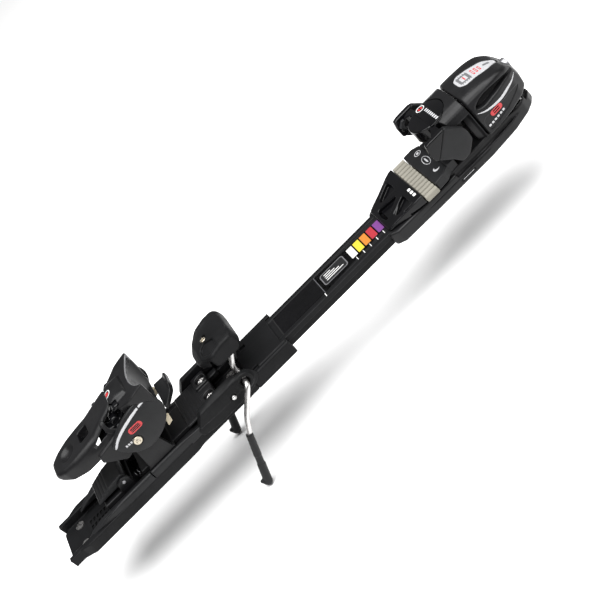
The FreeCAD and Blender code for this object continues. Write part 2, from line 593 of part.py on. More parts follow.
def toe_housing():
    """The fixed front of the toe: collar, spring housing, spring, piston, scale window, screw and pointer."""
    side = [(184.8, "toe_deck"), (193, "toe_deck"), (193, 59.4), (184.8, 59.8)]
    plan = both_sides([(193, 29), (190, 25), (184.8, 22)])
    collar = common(prism("xz", side, -30, 30), prism("xy", plan, 10, 70))
    piston_room = rod("x", 8.05, (0, "barrel_z"), 180, 200)
    node(cut(collar, piston_room), "toe_collar")

    side = [(193.2, "toe_deck"), (238, "toe_deck"), (247.5, 19.5), (250.5, 30), (248, 41), (242, 49),
            (234, 53.3), (218, 57.2), (205, 59.5), (193.2, 60)]
    plan = both_sides([(251, 9), (247, 16), (238, 23), (222, 29.5), (205, 32.5), (193, 33)])
    shell = common(prism("xz", side, -34, 34, rounded=[(2, 4), (3, 9), (4, 9), (5, 9)]),
                   prism("xy", plan, 10, 70))
    barrel = rod("x", "barrel_radius", (0, "barrel_z"), 190, 238)
    nose = rod("x", 7.1, (0, "barrel_z"), 237, 253)
    recess = prism("xz", [(203, 70), (203, 58.4), (241, 49.4), (244, 60)], -11, 11)
    travel_slot = block((207, 227), (-3, 3), (51, 60))
    scoop = prism("xz", [(199, 46), (206, 49), (240, 45.5), (243, 43), (226, 41.5), (204, 42)], 26, 36,
                  rounded=[(0, 1), (3, 1)])
    rooms = (barrel, nose, recess, travel_slot, scoop, mirrored(scoop))
    node(cut(shell, *rooms), "toe_housing")
    window = prism("xz", [(203.2, 58.4), (203.2, 59.6), (240.5, 50.8), (240.5, 49.6)], -10.8, 10.8)
    view = block((207, 227), (-2.6, 2.6), (40, 62))
    node(cut(window, view), "scale_window")

    head = rod("x", 7.95, (0, "barrel_z"), 184.2, 200)
    node(head, "toe_piston")
    node(spring(8, 1.4, 4.6, "x", (201.6, 0, "barrel_z"), 0, 33), "toe_spring")
    screw = rod("x", 7.05, (0, "barrel_z"), 238.3, 249)
    slot = block((247.6, 250), (-5, 5), ("barrel_z - 0.9", "barrel_z + 0.9"))
    node(cut(screw, slot), "toe_release_screw")
    node(block((214, 219), (-2.4, 2.4), (51.4, 54)), "toe_indicator")


def toe_jaw():
    """The jaw that swings about the post: yoke, wings, soft inner pads and the cap over the pivot."""
    plan = both_sides([("pivot_x + 9", "wing_inner"), ("pivot_x - 12", "wing_inner"), (150, 22), (149.5, 10)])
    upper = prism("xy", plan, 45, 58)
    reach = rod("z", "hub_radius", ("pivot_x", 0), 45, "jaw_top - 1.5")
    plan = both_sides([("pivot_x + 9", "wing_inner"), ("pivot_x - 2", "wing_inner"), (159, 20), (158.5, 8)])
    lower = prism("xy", plan, 27, 46)
    hub = rod("z", "hub_radius", ("pivot_x", 0), 27, 46)
    foot = rod("z", "post_radius + 1.2", ("pivot_x", 0), 21.5, 30)
    toe_room = block((140, 158.5), (-25, 25), (27, 44.9))
    bore = rod("z", "post_radius + running", ("pivot_x", 0), 20, "jaw_top - 3.9")
    node(cut(fuse(upper, reach, lower, hub, foot), toe_room, bore), "jaw_yoke")
    cap = rod("z", "hub_radius - 3", ("pivot_x", 0), "jaw_top - 1.5", "jaw_top")
    node(cap, "hub_cap")

    side = [(143.2, 40), (143.2, 52), (148, 58.5), (168, 59), (181.5, 48), (181.5, 27), (176, 21.7),
            (166, 21.7), (158, 27.3), (146.5, 30.5)]
    wing = prism("xz", side, "wing_inner", "wing_outer",
                 rounded=[(0, 5), (1, 4), (2, 4), (3, 7), (4, 6), (5, 5), (6, 4), (7, 4), (9, 1)])
    pair(wing, "jaw_wing")
    grip = block((146.5, 153), (26.8, "wing_inner"), (40, 44.8))
    node(fuse(grip, mirrored(grip)), "jaw_pads")


def antifriction_pad():
    """The sliding pad under the boot's toe, ribbed along the ski."""
    slab = block(("pad_rear", "pad_front"), ("-pad_half + 0.5", "pad_half - 0.5"), (17.4, "rib_height"))
    ribs = []
    for index in range(RIBS):
        y = (index - (RIBS - 1) / 2) * RIB_PITCH
        ribs.append(rod("x", "rib_radius", (y, "rib_height"), "pad_rear", "pad_front"))
    guide_room = block((119.7, 128.8), (-33, 33), (10, 19.9))
    node(cut(fuse(slab, *ribs), guide_room), "antifriction_pad")


for build in (rail, heel_base, latch_carriage, heel_tower, heel_housing, heel_lever, brake, toe_carriage,
              toe_housing, toe_jaw, antifriction_pad):
    build()
doc.recompute()


def check_and_write():
    broken = [item.Label for item in doc.Objects if {"Invalid", "Error"} & set(item.State)]
    for piece in nodes:
        if piece.Shape.isNull() or not piece.Shape.isValid() or not piece.Shape.Solids:
            broken.append(piece.Label)
    if broken:
        raise RuntimeError("these did not build: " + ", ".join(broken))
    os.makedirs("parts", exist_ok=True)
    for piece in nodes:
        piece.Shape.exportStep(f"parts/{piece.Label}.step")
    print(len(nodes), "sub-parts written")


check_and_write()
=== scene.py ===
import json
import math
import bpy
import numpy as np
from mathutils import Matrix, Vector

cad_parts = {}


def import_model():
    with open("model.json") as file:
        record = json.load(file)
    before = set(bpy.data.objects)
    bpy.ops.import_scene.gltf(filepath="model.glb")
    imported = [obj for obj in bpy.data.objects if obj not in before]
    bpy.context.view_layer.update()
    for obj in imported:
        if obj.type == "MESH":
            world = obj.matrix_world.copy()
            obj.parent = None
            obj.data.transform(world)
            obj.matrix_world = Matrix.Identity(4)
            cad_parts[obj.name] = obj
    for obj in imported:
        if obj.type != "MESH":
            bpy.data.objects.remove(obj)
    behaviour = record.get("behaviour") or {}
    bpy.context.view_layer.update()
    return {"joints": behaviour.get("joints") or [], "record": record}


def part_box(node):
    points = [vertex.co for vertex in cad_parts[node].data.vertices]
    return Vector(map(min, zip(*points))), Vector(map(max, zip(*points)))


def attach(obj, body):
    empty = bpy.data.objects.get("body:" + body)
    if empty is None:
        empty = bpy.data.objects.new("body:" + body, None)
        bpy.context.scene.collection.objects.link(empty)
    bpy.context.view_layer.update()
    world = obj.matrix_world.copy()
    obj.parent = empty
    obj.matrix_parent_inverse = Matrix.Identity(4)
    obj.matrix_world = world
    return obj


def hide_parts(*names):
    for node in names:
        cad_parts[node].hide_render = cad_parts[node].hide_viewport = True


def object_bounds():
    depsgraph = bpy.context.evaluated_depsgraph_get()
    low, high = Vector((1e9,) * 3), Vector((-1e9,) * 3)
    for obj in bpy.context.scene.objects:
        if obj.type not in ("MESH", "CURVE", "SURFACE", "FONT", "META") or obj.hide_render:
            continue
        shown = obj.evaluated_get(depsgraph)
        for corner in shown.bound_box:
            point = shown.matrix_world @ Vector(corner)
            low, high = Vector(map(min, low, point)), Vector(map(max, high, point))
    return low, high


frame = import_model()

# A rail-mounted alpine ski binding. Shapes are worked out in millimetres in the row frame:
# +X to the toe, +Y to the skier's left, +Z up, with the origin at the boot-centre mark on the ski.
MM = 0.001
THROUGH = 400                            # further than any part of the object from the origin
STEP = 0.7        # spacing of the sampling grid
FINE = 0.45       # the same for small pieces
PRINT = 0.3       # the same for printed marks


def middle(node):
    """The centre of a CAD node's box, in millimetres."""
    low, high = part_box(node)
    return (low + high) / 2 / MM


AXLE = middle("heel_axle")
POST = middle("pivot_post")
EYE = Vector([joint["pos_m"] for joint in frame["joints"] if joint["name"] == "brake_swing"][0]) / MM
KNEE = Vector([joint["pos_m"] for joint in frame["joints"] if joint["name"] == "pedal_tilt"][0]) / MM
LEVER_PIN = middle("lever_pin")
LATCH_PIN = middle("latch_pin")
TOE_BORE = (0, 38)                       # the toe spring's line, as (y, z)


# ---------------------------------------------------------------- solids as distance fields
# A field takes arrays x, y, z in millimetres and gives a distance, negative inside the solid.

def join(*fields, k=0.0):
    """The union of fields, blended over k millimetres."""
    def field(x, y, z):
        value = fields[0](x, y, z)
        for other in fields[1:]:
            more = other(x, y, z)
            if k:
                near = np.maximum(k - np.abs(value - more), 0) / k
                value = np.minimum(value, more) - near * near * k / 4
            else:
                value = np.minimum(value, more)
        return value
    return field


def opposite(field):
    """Everything outside the field's solid."""
    return lambda x, y, z: -field(x, y, z)


def meet(*fields, k=0.0):
    """The overlap of fields, its edges rounded over k millimetres."""
    return opposite(join(*[opposite(field) for field in fields], k=k))


def carve(base, *tools, k=0.0):
    """The base with the tools taken out, its new edges rounded over k millimetres."""
    return meet(base, *[opposite(tool) for tool in tools], k=k)


def grow(field, amount):
    """The solid made bigger all round, or smaller if the amount is negative."""
    return lambda x, y, z: field(x, y, z) - amount


def both(field):
    """The field on the left, and its mirror image on the right."""
    return lambda x, y, z: field(x, np.abs(y), z)


def flip(field):
    """The field's mirror image on the other side of the ski's line."""
    return lambda x, y, z: field(x, -y, z)


def outline_distance(points, u, v):
    """Signed distance from a closed outline in a plane."""
    best = None
    inside = None
    for (au, av), (bu, bv) in zip(points, points[1:] + points[:1]):
        eu, ev = bu - au, bv - av
        if eu == 0 and ev == 0:
            continue
        along = np.clip(((u - au) * eu + (v - av) * ev) / (eu * eu + ev * ev), 0, 1)
        gap = (u - au - eu * along) ** 2 + (v - av - ev * along) ** 2
        best = gap if best is None else np.minimum(best, gap)
        if ev != 0:
            crossing = ((av <= v) != (bv <= v)) & (u < au + (v - av) * eu / ev)
            inside = crossing if inside is None else inside ^ crossing
    return np.where(inside, -np.sqrt(best), np.sqrt(best))


def rounded(*corners):
    """An outline from corners (u, v, radius), each turned into an arc."""
    points = []
    count = len(corners)
    for index, (u, v, radius) in enumerate(corners):
        here = np.array([u, v], float)
        back = np.array(corners[index - 1][:2], float) - here
        ahead = np.array(corners[(index + 1) % count][:2], float) - here
        reach = 0.49 * min(np.linalg.norm(back), np.linalg.norm(ahead))
        back /= np.linalg.norm(back)
        ahead /= np.linalg.norm(ahead)
        half = math.acos(max(-1.0, min(1.0, float(back @ ahead)))) / 2
        if radius <= 0 or half > 1.5:
            points.append((u, v))
            continue
        radius = min(radius, reach * math.tan(half))
        centre = here + (back + ahead) / np.linalg.norm(back + ahead) * radius / math.sin(half)
        first = here + back * radius / math.tan(half) - centre
        last = here + ahead * radius / math.tan(half) - centre
        start = math.atan2(first[1], first[0])
        sweep = (math.atan2(last[1], last[0]) - start + math.pi) % math.tau - math.pi
        steps = max(2, int(abs(sweep) / 0.2))
        for part in range(steps + 1):
            angle = start + sweep * part / steps
            points.append((centre[0] + radius * math.cos(angle), centre[1] + radius * math.sin(angle)))
    return points


def flow(*points):
    """A smooth closed outline through the points."""
    steps = 6
    out = []
    count = len(points)
    for index in range(count):
        p0, p1, p2, p3 = (np.array(points[(index + k) % count], float) for k in (-1, 0, 1, 2))
        for part in range(steps):
            t = part / steps
            curve = (2 * p0 - 5 * p1 + 4 * p2 - p3) * t * t
            spot = 0.5 * (2 * p1 + (p2 - p0) * t + curve + (3 * p1 - p0 - 3 * p2 + p3) * t ** 3)
            out.append((float(spot[0]), float(spot[1])))
    return out


def mirrored(*half, across="v"):
    """A rounded outline from the corners of one half, the other half being its mirror image."""
    sign = (1, -1) if across == "v" else (-1, 1)
    other = [(u * sign[0], v * sign[1], radius) for u, v, radius in reversed(half)]
    on_line = 1 if across == "v" else 0
    return rounded(*half, *[corner for corner in other if corner[on_line] != 0])


PLANES = {"x": (1, 2), "y": (0, 2), "z": (0, 1)}


def capped(side, axis, low, high, rim):
    """A plane distance given a thickness along an axis, with its rims rounded."""
    def field(x, y, z):
        place = (x, y, z)
        across = side(place[PLANES[axis][0]], place[PLANES[axis][1]])
        along = np.abs(place["xyz".index(axis)] - (low + high) / 2) - (high - low) / 2
        a, b = across + rim, along + rim
        return np.minimum(np.maximum(a, b), 0) + np.sqrt(np.maximum(a, 0) ** 2 + np.maximum(b, 0) ** 2) - rim
    return field


def plate(axis, outline, low, high, rim=1.0):
    """An outline in the plane across an axis, given a thickness, with rounded rims."""
    outline = [(p[0], p[1]) for p in outline]
    return capped(lambda u, v: outline_distance(outline, u, v), axis, low, high, rim)


def rod(axis, centre, radius, low, high, rim=0.5):
    """A round rod along an axis, from one place to another."""
    def side(u, v):
        return np.sqrt((u - centre[0]) ** 2 + (v - centre[1]) ** 2) - radius
    return capped(side, axis, low, high, rim)


def bolt(pin, radius, low, high, rim):
    """A rod across the object through a pin's centre."""
    return rod("y", (pin[0], pin[2]), radius, low, high, rim)


def stamp(axis, outline):
    """A mask for a print: a sharp outline that runs right through the object."""
    return plate(axis, outline, -THROUGH, THROUGH, 0.02)


def dot(axis, centre, radius):
    """A round mask for a print."""
    return rod(axis, centre, radius, -THROUGH, THROUGH, 0.02)


def oval(axis, centre, radii, low, high, rim=1.0):
    """An elliptical disc across an axis."""
    def side(u, v):
        a, b = (u - centre[0]) / radii[0], (v - centre[1]) / radii[1]
        near = np.sqrt(a * a + b * b)
        slope = np.sqrt((a / radii[0]) ** 2 + (b / radii[1]) ** 2)
        return near * (near - 1) / np.maximum(slope, 1e-6)
    return capped(side, axis, low, high, rim)


def box(low, high, rim=0.6):
    """A block between two corners, with rounded edges."""
    def field(x, y, z):
        gaps = [np.abs(c - (a + b) / 2) - (b - a) / 2 + rim for c, a, b in zip((x, y, z), low, high)]
        inner = np.minimum(np.maximum(np.maximum(gaps[0], gaps[1]), gaps[2]), 0)
        return inner + np.sqrt(sum(np.maximum(gap, 0) ** 2 for gap in gaps)) - rim
    return field


def spanned(outline, half, rim):
    """A side outline given the same width on both sides of the ski's line."""
    return plate("y", outline, -half, half, rim)


def slab(start, end, half, rim=0.6):
    """A block from one (x, z) corner to another, with the same width on both sides."""
    return box((start[0], -half, start[1]), (end[0], half, end[1]), rim)


def ball(centre, radii):
    """An ellipsoid."""
    def field(x, y, z):
        parts = [(c - m) / r for c, m, r in zip((x, y, z), centre, radii)]
        near = np.sqrt(sum(p * p for p in parts))
        slope = np.sqrt(sum((p / r) ** 2 for p, r in zip(parts, radii)))
        return near * (near - 1) / np.maximum(slope, 1e-6)
    return field


def bar(start, end, radius, other=None):
    """A round-ended bar between two points, tapering if another radius is given."""
    start, end = np.array(start, float), np.array(end, float)
    run = end - start
    change = (radius if other is None else other) - radius

    def field(x, y, z):
        t = sum((c - a) * r for c, a, r in zip((x, y, z), start, run)) / float(run @ run)
        t = np.clip(t, 0, 1)
        gap = sum((c - a - r * t) ** 2 for c, a, r in zip((x, y, z), start, run))
        return np.sqrt(gap) - radius - change * t
    return field


def past(axis, value):
    """The half-space on the higher side of a plane."""
    return lambda x, y, z: value - (x, y, z)["xyz".index(axis)]


def before(axis, value):
    """The half-space on the lower side of a plane."""
    return lambda x, y, z: (x, y, z)["xyz".index(axis)] - value


def under(points, crown=0.0, waist=0.0):
    """What lies under a ridge line of (x, z) points that falls away sideways by crown at |y| = waist."""
    ease = 0.85                          # keeps the field's slope near one on the steepest ridges
    xs, zs = zip(*sorted(points))

    def field(x, y, z):
        ridge = np.interp(x, xs, zs)
        fall = crown * (y / waist) ** 2 if crown else 0
        return (z - ridge + fall) * ease
    return field


def skin(field, low, high, step):
    """Vertices and quads of a field's zero surface inside a box."""
    margin = 2.5 * step
    low = np.array(low, float) - margin
    counts = np.ceil((np.array(high, float) + margin - low) / step).astype(int) + 1
    x, y, z = (low[k] + step * np.arange(counts[k]) for k in range(3))
    value = field(x[:, None, None], y[None, :, None], z[None, None, :])
    value = np.broadcast_to(value, tuple(counts)).astype(np.float32)
    for axis in range(3):
        for end in (0, -1):
            wall = tuple(end if k == axis else slice(None) for k in range(3))
            value[wall] = np.maximum(value[wall], 0.1 * step)
    inside = value < 0
    cells = counts - 1
    total = np.zeros(cells, np.int8)
    corners = [(a, b, c) for a in (0, 1) for b in (0, 1) for c in (0, 1)]
    for a, b, c in corners:
        total += inside[a:a + cells[0], b:b + cells[1], c:c + cells[2]]
    mixed = (total > 0) & (total < 8)
    number = np.full(tuple(cells), -1, np.int64)
    number[mixed] = np.arange(int(mixed.sum()))
    at = np.argwhere(mixed)
    place = np.zeros((len(at), 3))
    hits = np.zeros(len(at))
    for start in corners:
        for axis in range(3):
            if start[axis]:
                continue
            end = tuple(1 if k == axis else start[k] for k in range(3))
            first = value[tuple((at + start).T)]
            last = value[tuple((at + end).T)]
            cross = (first < 0) != (last < 0)
            part = np.where(cross, first / np.where(cross, first - last, 1), 0)
            spot = np.array(start, float) + part[:, None] * (np.array(end) - np.array(start))
            place += np.where(cross[:, None], spot, 0)
            hits += cross
    vertices = low + (at + place / hits[:, None]) * step
    faces = []
    for axis in range(3):
        u, v = (axis + 1) % 3, (axis + 2) % 3
        lower = np.take(inside, range(cells[axis]), axis=axis)
        upper = np.take(inside, range(1, counts[axis]), axis=axis)
        for flag in (True, False):
            edges = np.argwhere((lower != upper) & (lower == flag))
            ring = []
            for du, dv in ((0, 0), (-1, 0), (-1, -1), (0, -1)):
                cell = edges.copy()
                cell[:, u] += du
                cell[:, v] += dv
                ring.append(number[tuple(cell.T)])
            faces.append(np.stack(ring if flag else ring[::-1], axis=1))
    for _ in range(2):
        vertices = pulled(field, vertices, step)
    return vertices, np.concatenate(faces)


def pulled(field, vertices, step):
    """Vertices moved along the field's slope onto its zero surface."""
    small = 0.04
    x, y, z = vertices.T
    here = field(x, y, z)
    slope = np.stack([(field(x + small, y, z) - here) / small, (field(x, y + small, z) - here) / small,
                      (field(x, y, z + small) - here) / small], axis=1)
    steep = np.maximum((slope ** 2).sum(1), 0.05)
    move = slope * (here / steep)[:, None]
    size = np.linalg.norm(move, axis=1)
    move *= np.minimum(1, 0.6 * step / np.maximum(size, 1e-9))[:, None]
    return vertices - move


# ---------------------------------------------------------------- pieces

def reach_of(nodes):
    """The joint box of some CAD nodes, in millimetres."""
    boxes = [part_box(node) for node in nodes]
    low = [min(lows[k] for lows, _ in boxes) / MM for k in range(3)]
    high = [max(highs[k] for _, highs in boxes) / MM for k in range(3)]
    return low, high


def body_of(node):
    """The body that a CAD node belongs to."""
    bodies = frame["record"]["behaviour"]["bodies"]
    return [name for name, members in bodies.items() if node in members][0]


def finished(name, mesh, material, nodes, replace=True):
    """A mesh object that rides on its CAD nodes' body and stands for them."""
    mesh.materials.append(material)
    thing = bpy.data.objects.new(name, mesh)
    bpy.context.scene.collection.objects.link(thing)
    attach(thing, body_of(nodes[0]))
    if replace:
        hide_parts(*nodes)
    return thing


def smooth(name, vertices, faces, material, nodes, replace=True):
    """A smooth-shaded mesh, in metres, on its nodes' body."""
    mesh = bpy.data.meshes.new(name)
    mesh.from_pydata(vertices, [], faces)
    mesh.shade_smooth()
    return finished(name, mesh, material, nodes, replace)


def piece(name, field, material, nodes, step=None, margin=0.0, replace=True, reach=None):
    """A solid made from a field, in the box of the CAD nodes it stands for."""
    low, high = reach or reach_of(nodes)
    low = [value - margin for value in low]
    high = [value + margin for value in high]
    vertices, faces = skin(field, low, high, step or STEP)
    return smooth(name, (vertices * MM).tolist(), faces.tolist(), material, nodes, replace)


def mirror_zone(zone):
    """A box's mirror image on the other side of the ski's line."""
    (x0, y0, z0), (x1, y1, z1) = zone
    return [x0, -y1, z0], [x1, -y0, z1]


def pair(left, right, field, material, step=None, replace=True, reach=None):
    """A piece on the skier's left and its mirror image on the right, each given as (name, node)."""
    mirror = reach and mirror_zone(reach)
    piece(left[0], field, material, [left[1]], step, replace=replace, reach=reach)
    piece(right[0], flip(field), material, [right[1]], step, replace=replace, reach=mirror)


def printed(host, node, zone, *marks, lift=0.1):
    """Thin printed marks, each a name, a mask and an ink, that lie on a host's surface in a zone; also used
    for a painted highlight band.
    """
    skin_deep = meet(grow(host, lift), opposite(grow(host, -0.4)))
    for name, mask, paint in marks:
        piece(name, meet(skin_deep, mask), paint, [node], PRINT, replace=False, reach=zone)


def printed_pair(host, left_node, right_node, zone, *marks):
    """Marks on a host's right flank, and their mirror images on the left."""
    printed(host, right_node, zone, *[(name + "_near", mask, paint) for name, mask, paint in marks])
    printed(flip(host), left_node, mirror_zone(zone),
            *[(name + "_far", flip(mask), paint) for name, mask, paint in marks])


def wire_piece(name, points, radius, material, nodes, bend):
    """A bent round wire along straight runs with rounded bends."""
    path = []
    for previous, here, following in zip(points, points[1:], points[2:]):
        back = Vector(previous) - Vector(here)
        ahead = Vector(following) - Vector(here)
        reach = min(bend, 0.45 * back.length, 0.45 * ahead.length)
        start = Vector(here) + back.normalized() * reach
        end = Vector(here) + ahead.normalized() * reach
        for part in range(9):
            t = part / 8
            path.append(start * (1 - t) ** 2 + Vector(here) * 2 * t * (1 - t) + end * t * t)
    path = [Vector(points[0])] + path + [Vector(points[-1])]
    return sweep_piece(name, path, radius, material, nodes)


def sweep_piece(name, path, radius, material, nodes):
    """A round tube along close points, closed by domed ends."""
    sides = 24
    side = Vector((0, 0, 1))
    rings = []
    count = len(path)
    for index, point in enumerate(path):
        ahead = (path[min(index + 1, count - 1)] - path[max(index - 1, 0)]).normalized()
        side = (side - ahead * side.dot(ahead))
        if side.length < 1e-3:
            side = ahead.orthogonal()
        side.normalize()
        rings.append((point, ahead, side.copy(), 1.0))
    (start, back, start_side, _), (end, ahead, end_side, _) = rings[0], rings[-1]
    for part in range(1, 5):
        angle = math.pi / 10 * part
        out, scale = radius * math.sin(angle) * 0.5, math.cos(angle)
        rings.insert(0, (start - back * out, back, start_side, scale))
        rings.append((end + ahead * out, ahead, end_side, scale))
    vertices, faces = [], []
    for point, ahead, side, scale in rings:
        other = ahead.cross(side)
        for turn in range(sides):
            angle = math.tau * turn / sides
            away = side * math.cos(angle) + other * math.sin(angle)
            vertices.append(tuple((point + away * radius * scale) * MM))
    for ring in range(len(rings) - 1):
        for turn in range(sides):
            a = ring * sides + turn
            b = ring * sides + (turn + 1) % sides
            faces.append((a, b, b + sides, a + sides))
    faces.append(tuple(reversed(range(sides))))
    faces.append(tuple(range(len(vertices) - sides, len(vertices))))
    return smooth(name, vertices, faces, material, nodes)


# ---------------------------------------------------------------- materials

def graph(name):
    """A new material with its node tree and its shader."""
    material = bpy.data.materials.new(name)
    material.use_nodes = True
    tree = material.node_tree
    shader = tree.nodes["Principled BSDF"]
    return material, tree, shader


def noise(tree, scale, detail=3.0, stretch=(1, 1, 1)):
    """Noise at a scale in cycles per metre, stretched along the axes."""
    place = tree.nodes.new("ShaderNodeTexCoord")
    mapping = tree.nodes.new("ShaderNodeMapping")
    mapping.inputs["Scale"].default_value = stretch
    tree.links.new(place.outputs["Object"], mapping.inputs["Vector"])
    cloud = tree.nodes.new("ShaderNodeTexNoise")
    cloud.inputs["Scale"].default_value = scale
    cloud.inputs["Detail"].default_value = detail
    tree.links.new(mapping.outputs["Vector"], cloud.inputs["Vector"])
    return cloud.outputs["Fac"]


def spread(tree, source, low, high, new_low, new_high):
    """A value spread from one range to another."""
    node = tree.nodes.new("ShaderNodeMapRange")
    for key, value in (("From Min", low), ("From Max", high), ("To Min", new_low), ("To Max", new_high)):
        node.inputs[key].default_value = value
    tree.links.new(source, node.inputs["Value"])
    return node.outputs["Result"]


def blended(tree, factor, first, second):
    """A mix of two colours, each a tuple or a socket."""
    node = tree.nodes.new("ShaderNodeMix")
    node.data_type = "RGBA"
    tree.links.new(factor, node.inputs["Factor"])
    for key, colour in (("A", first), ("B", second)):
        socket = [item for item in node.inputs if item.name == key and item.type == "RGBA"][0]
        if isinstance(colour, tuple):
            socket.default_value = (*colour, 1)
        else:
            tree.links.new(colour, socket)
    return [item for item in node.outputs if item.type == "RGBA"][0]


def worn(tree, start, stop, most):
    """How much an edge is rubbed, from the surface's sharpness and a patchy noise."""
    shape = tree.nodes.new("ShaderNodeNewGeometry")
    edge = spread(tree, shape.outputs["Pointiness"], start, stop, 0, most)
    patch = spread(tree, noise(tree, 260, 4), 0.35, 0.65, 0.25, 1)
    node = tree.nodes.new("ShaderNodeMath")
    node.operation = "MULTIPLY"
    tree.links.new(edge, node.inputs[0])
    tree.links.new(patch, node.inputs[1])
    return node.outputs[0]


def bumped(tree, shader, height, strength, distance):
    node = tree.nodes.new("ShaderNodeBump")
    node.inputs["Strength"].default_value = strength
    node.inputs["Distance"].default_value = distance
    tree.links.new(height, node.inputs["Height"])
    tree.links.new(node.outputs["Normal"], shader.inputs["Normal"])


def plastic(name, colour, rough, grain=0.25, rub=0.5, spot=0.12, grain_scale=1500, shine=0.2):
    """Moulded plastic: a fine grain, slow changes of tone, faint handling marks and rubbed edges."""
    material, tree, shader = graph(name)
    pale = tuple(min(1, c * 2.6 + 0.02) for c in colour)
    deep = tuple(c * (1 - spot * 2) for c in colour)
    bright = tuple(c * (1 + spot * 2) for c in colour)
    tone = blended(tree, spread(tree, noise(tree, 45), 0.3, 0.7, 0, 1), deep, bright)
    edge = worn(tree, 0.53, 0.62, rub)
    tree.links.new(blended(tree, edge, tone, pale), shader.inputs["Base Color"])
    gloss = spread(tree, noise(tree, 130, 5), 0.3, 0.7, max(rough - 0.06, 0.03), rough + 0.08)
    tree.links.new(gloss, shader.inputs["Roughness"])
    shader.inputs["Specular IOR Level"].default_value = shine
    bumped(tree, shader, noise(tree, grain_scale, 2), grain, 0.00012)
    return material


def metal(name, colour, rough, brushed=(1, 1, 1)):
    """Plated steel: a cloudy tone, fine drawn lines and dulled patches."""
    material, tree, shader = graph(name)
    shader.inputs["Metallic"].default_value = 1.0
    deep = tuple(c * 0.85 for c in colour)
    tree.links.new(blended(tree, spread(tree, noise(tree, 220, 5), 0.3, 0.7, 0, 1), deep, colour),
                   shader.inputs["Base Color"])
    tree.links.new(spread(tree, noise(tree, 500, 4, brushed), 0.3, 0.7, rough - 0.08, rough + 0.12),
                   shader.inputs["Roughness"])
    bumped(tree, shader, noise(tree, 900, 3, brushed), 0.2, 0.0001)
    return material


def ink(name, colour, rough=0.35):
    """Pad-printed ink: nearly even, with small pin-holes and a slight waviness."""
    material, tree, shader = graph(name)
    thin = tuple(c * 0.78 for c in colour)
    tree.links.new(blended(tree, spread(tree, noise(tree, 900, 5), 0.32, 0.5, 0, 1), thin, colour),
                   shader.inputs["Base Color"])
    tree.links.new(spread(tree, noise(tree, 300), 0.3, 0.7, rough - 0.05, rough + 0.1),
                   shader.inputs["Roughness"])
    bumped(tree, shader, noise(tree, 1800, 2), 0.08, 0.0001)
    return material


BLACK = plastic("black_nylon", (0.006, 0.006, 0.0065), 0.36)
DARK = plastic("dark_nylon", (0.008, 0.0082, 0.0088), 0.42, grain=0.3)
COAL = plastic("textured_nylon", (0.0045, 0.0046, 0.005), 0.5, grain=0.6, grain_scale=1100, shine=0.12)
GREY = plastic("grey_nylon", (0.017, 0.0175, 0.0185), 0.36, rub=0.35)
GLOSS = plastic("gloss_black", (0.0025, 0.0025, 0.003), 0.17, grain=0.05, rub=0.2, shine=0.22)
PALE = plastic("beige_pad", (0.2, 0.19, 0.16), 0.55, grain=0.5, rub=0.15, spot=0.05, grain_scale=900)
WEDGE = plastic("cream_spacer", (0.42, 0.37, 0.27), 0.5, grain=0.3, rub=0.1, spot=0.05)
ZINC = metal("zinc_plate", (0.62, 0.61, 0.6), 0.3)
WIRE = metal("drawn_zinc_wire", (0.6, 0.59, 0.58), 0.3, brushed=(0.3, 1, 1))
DULL = metal("oiled_steel", (0.28, 0.28, 0.29), 0.38)
BRASSY = metal("passivated_screw", (0.5, 0.45, 0.36), 0.36)
WHITE = ink("white_ink", (0.62, 0.62, 0.61))
SILVER = ink("silver_ink", (0.42, 0.42, 0.43), 0.3)
RED = ink("red_ink", (0.42, 0.018, 0.022))
# Grey ink for prints, and also the colour of the painted highlight along the heel cup's rim.
GREY_INK_AND_HIGHLIGHT = ink("grey_ink_and_highlight", (0.11, 0.11, 0.115))
WINDOW = ink("window_plastic", (0.36, 0.36, 0.37), 0.34)


# ---------------------------------------------------------------- rail and its labels

def tile(name, outline, low, high, material, node):
    """A thin flat print with a softened rim, from an outline in the ski's plane."""
    count = len(outline)
    centre_u = sum(p[0] for p in outline) / count
    centre_v = sum(p[1] for p in outline) / count
    rim = 0.06
    inner = []
    for u, v in outline:
        away = Vector((u - centre_u, v - centre_v))
        away = away * (1 - rim / max(away.length, rim * 2))
        inner.append((centre_u + away.x, centre_v + away.y))
    rings = [(outline, low), (outline, high - rim), (inner, high)]
    vertices = [(u * MM, v * MM, z * MM) for ring, z in rings for u, v in ring]
    faces = [tuple(reversed(range(count))), tuple(range(2 * count, 3 * count))]
    for ring in range(2):
        for index in range(count):
            a = ring * count + index
            b = ring * count + (index + 1) % count
            faces.append((a, b, b + count, a + count))
    mesh = bpy.data.meshes.new(name)
    mesh.from_pydata(vertices, [], faces)
    return finished(name, mesh, material, [node], replace=False)


def oblong(x0, x1, y0, y1, radius=0.6):
    """A rectangle with rounded corners."""
    return rounded((x0, y0, radius), (x1, y0, radius), (x1, y1, radius), (x0, y1, radius))


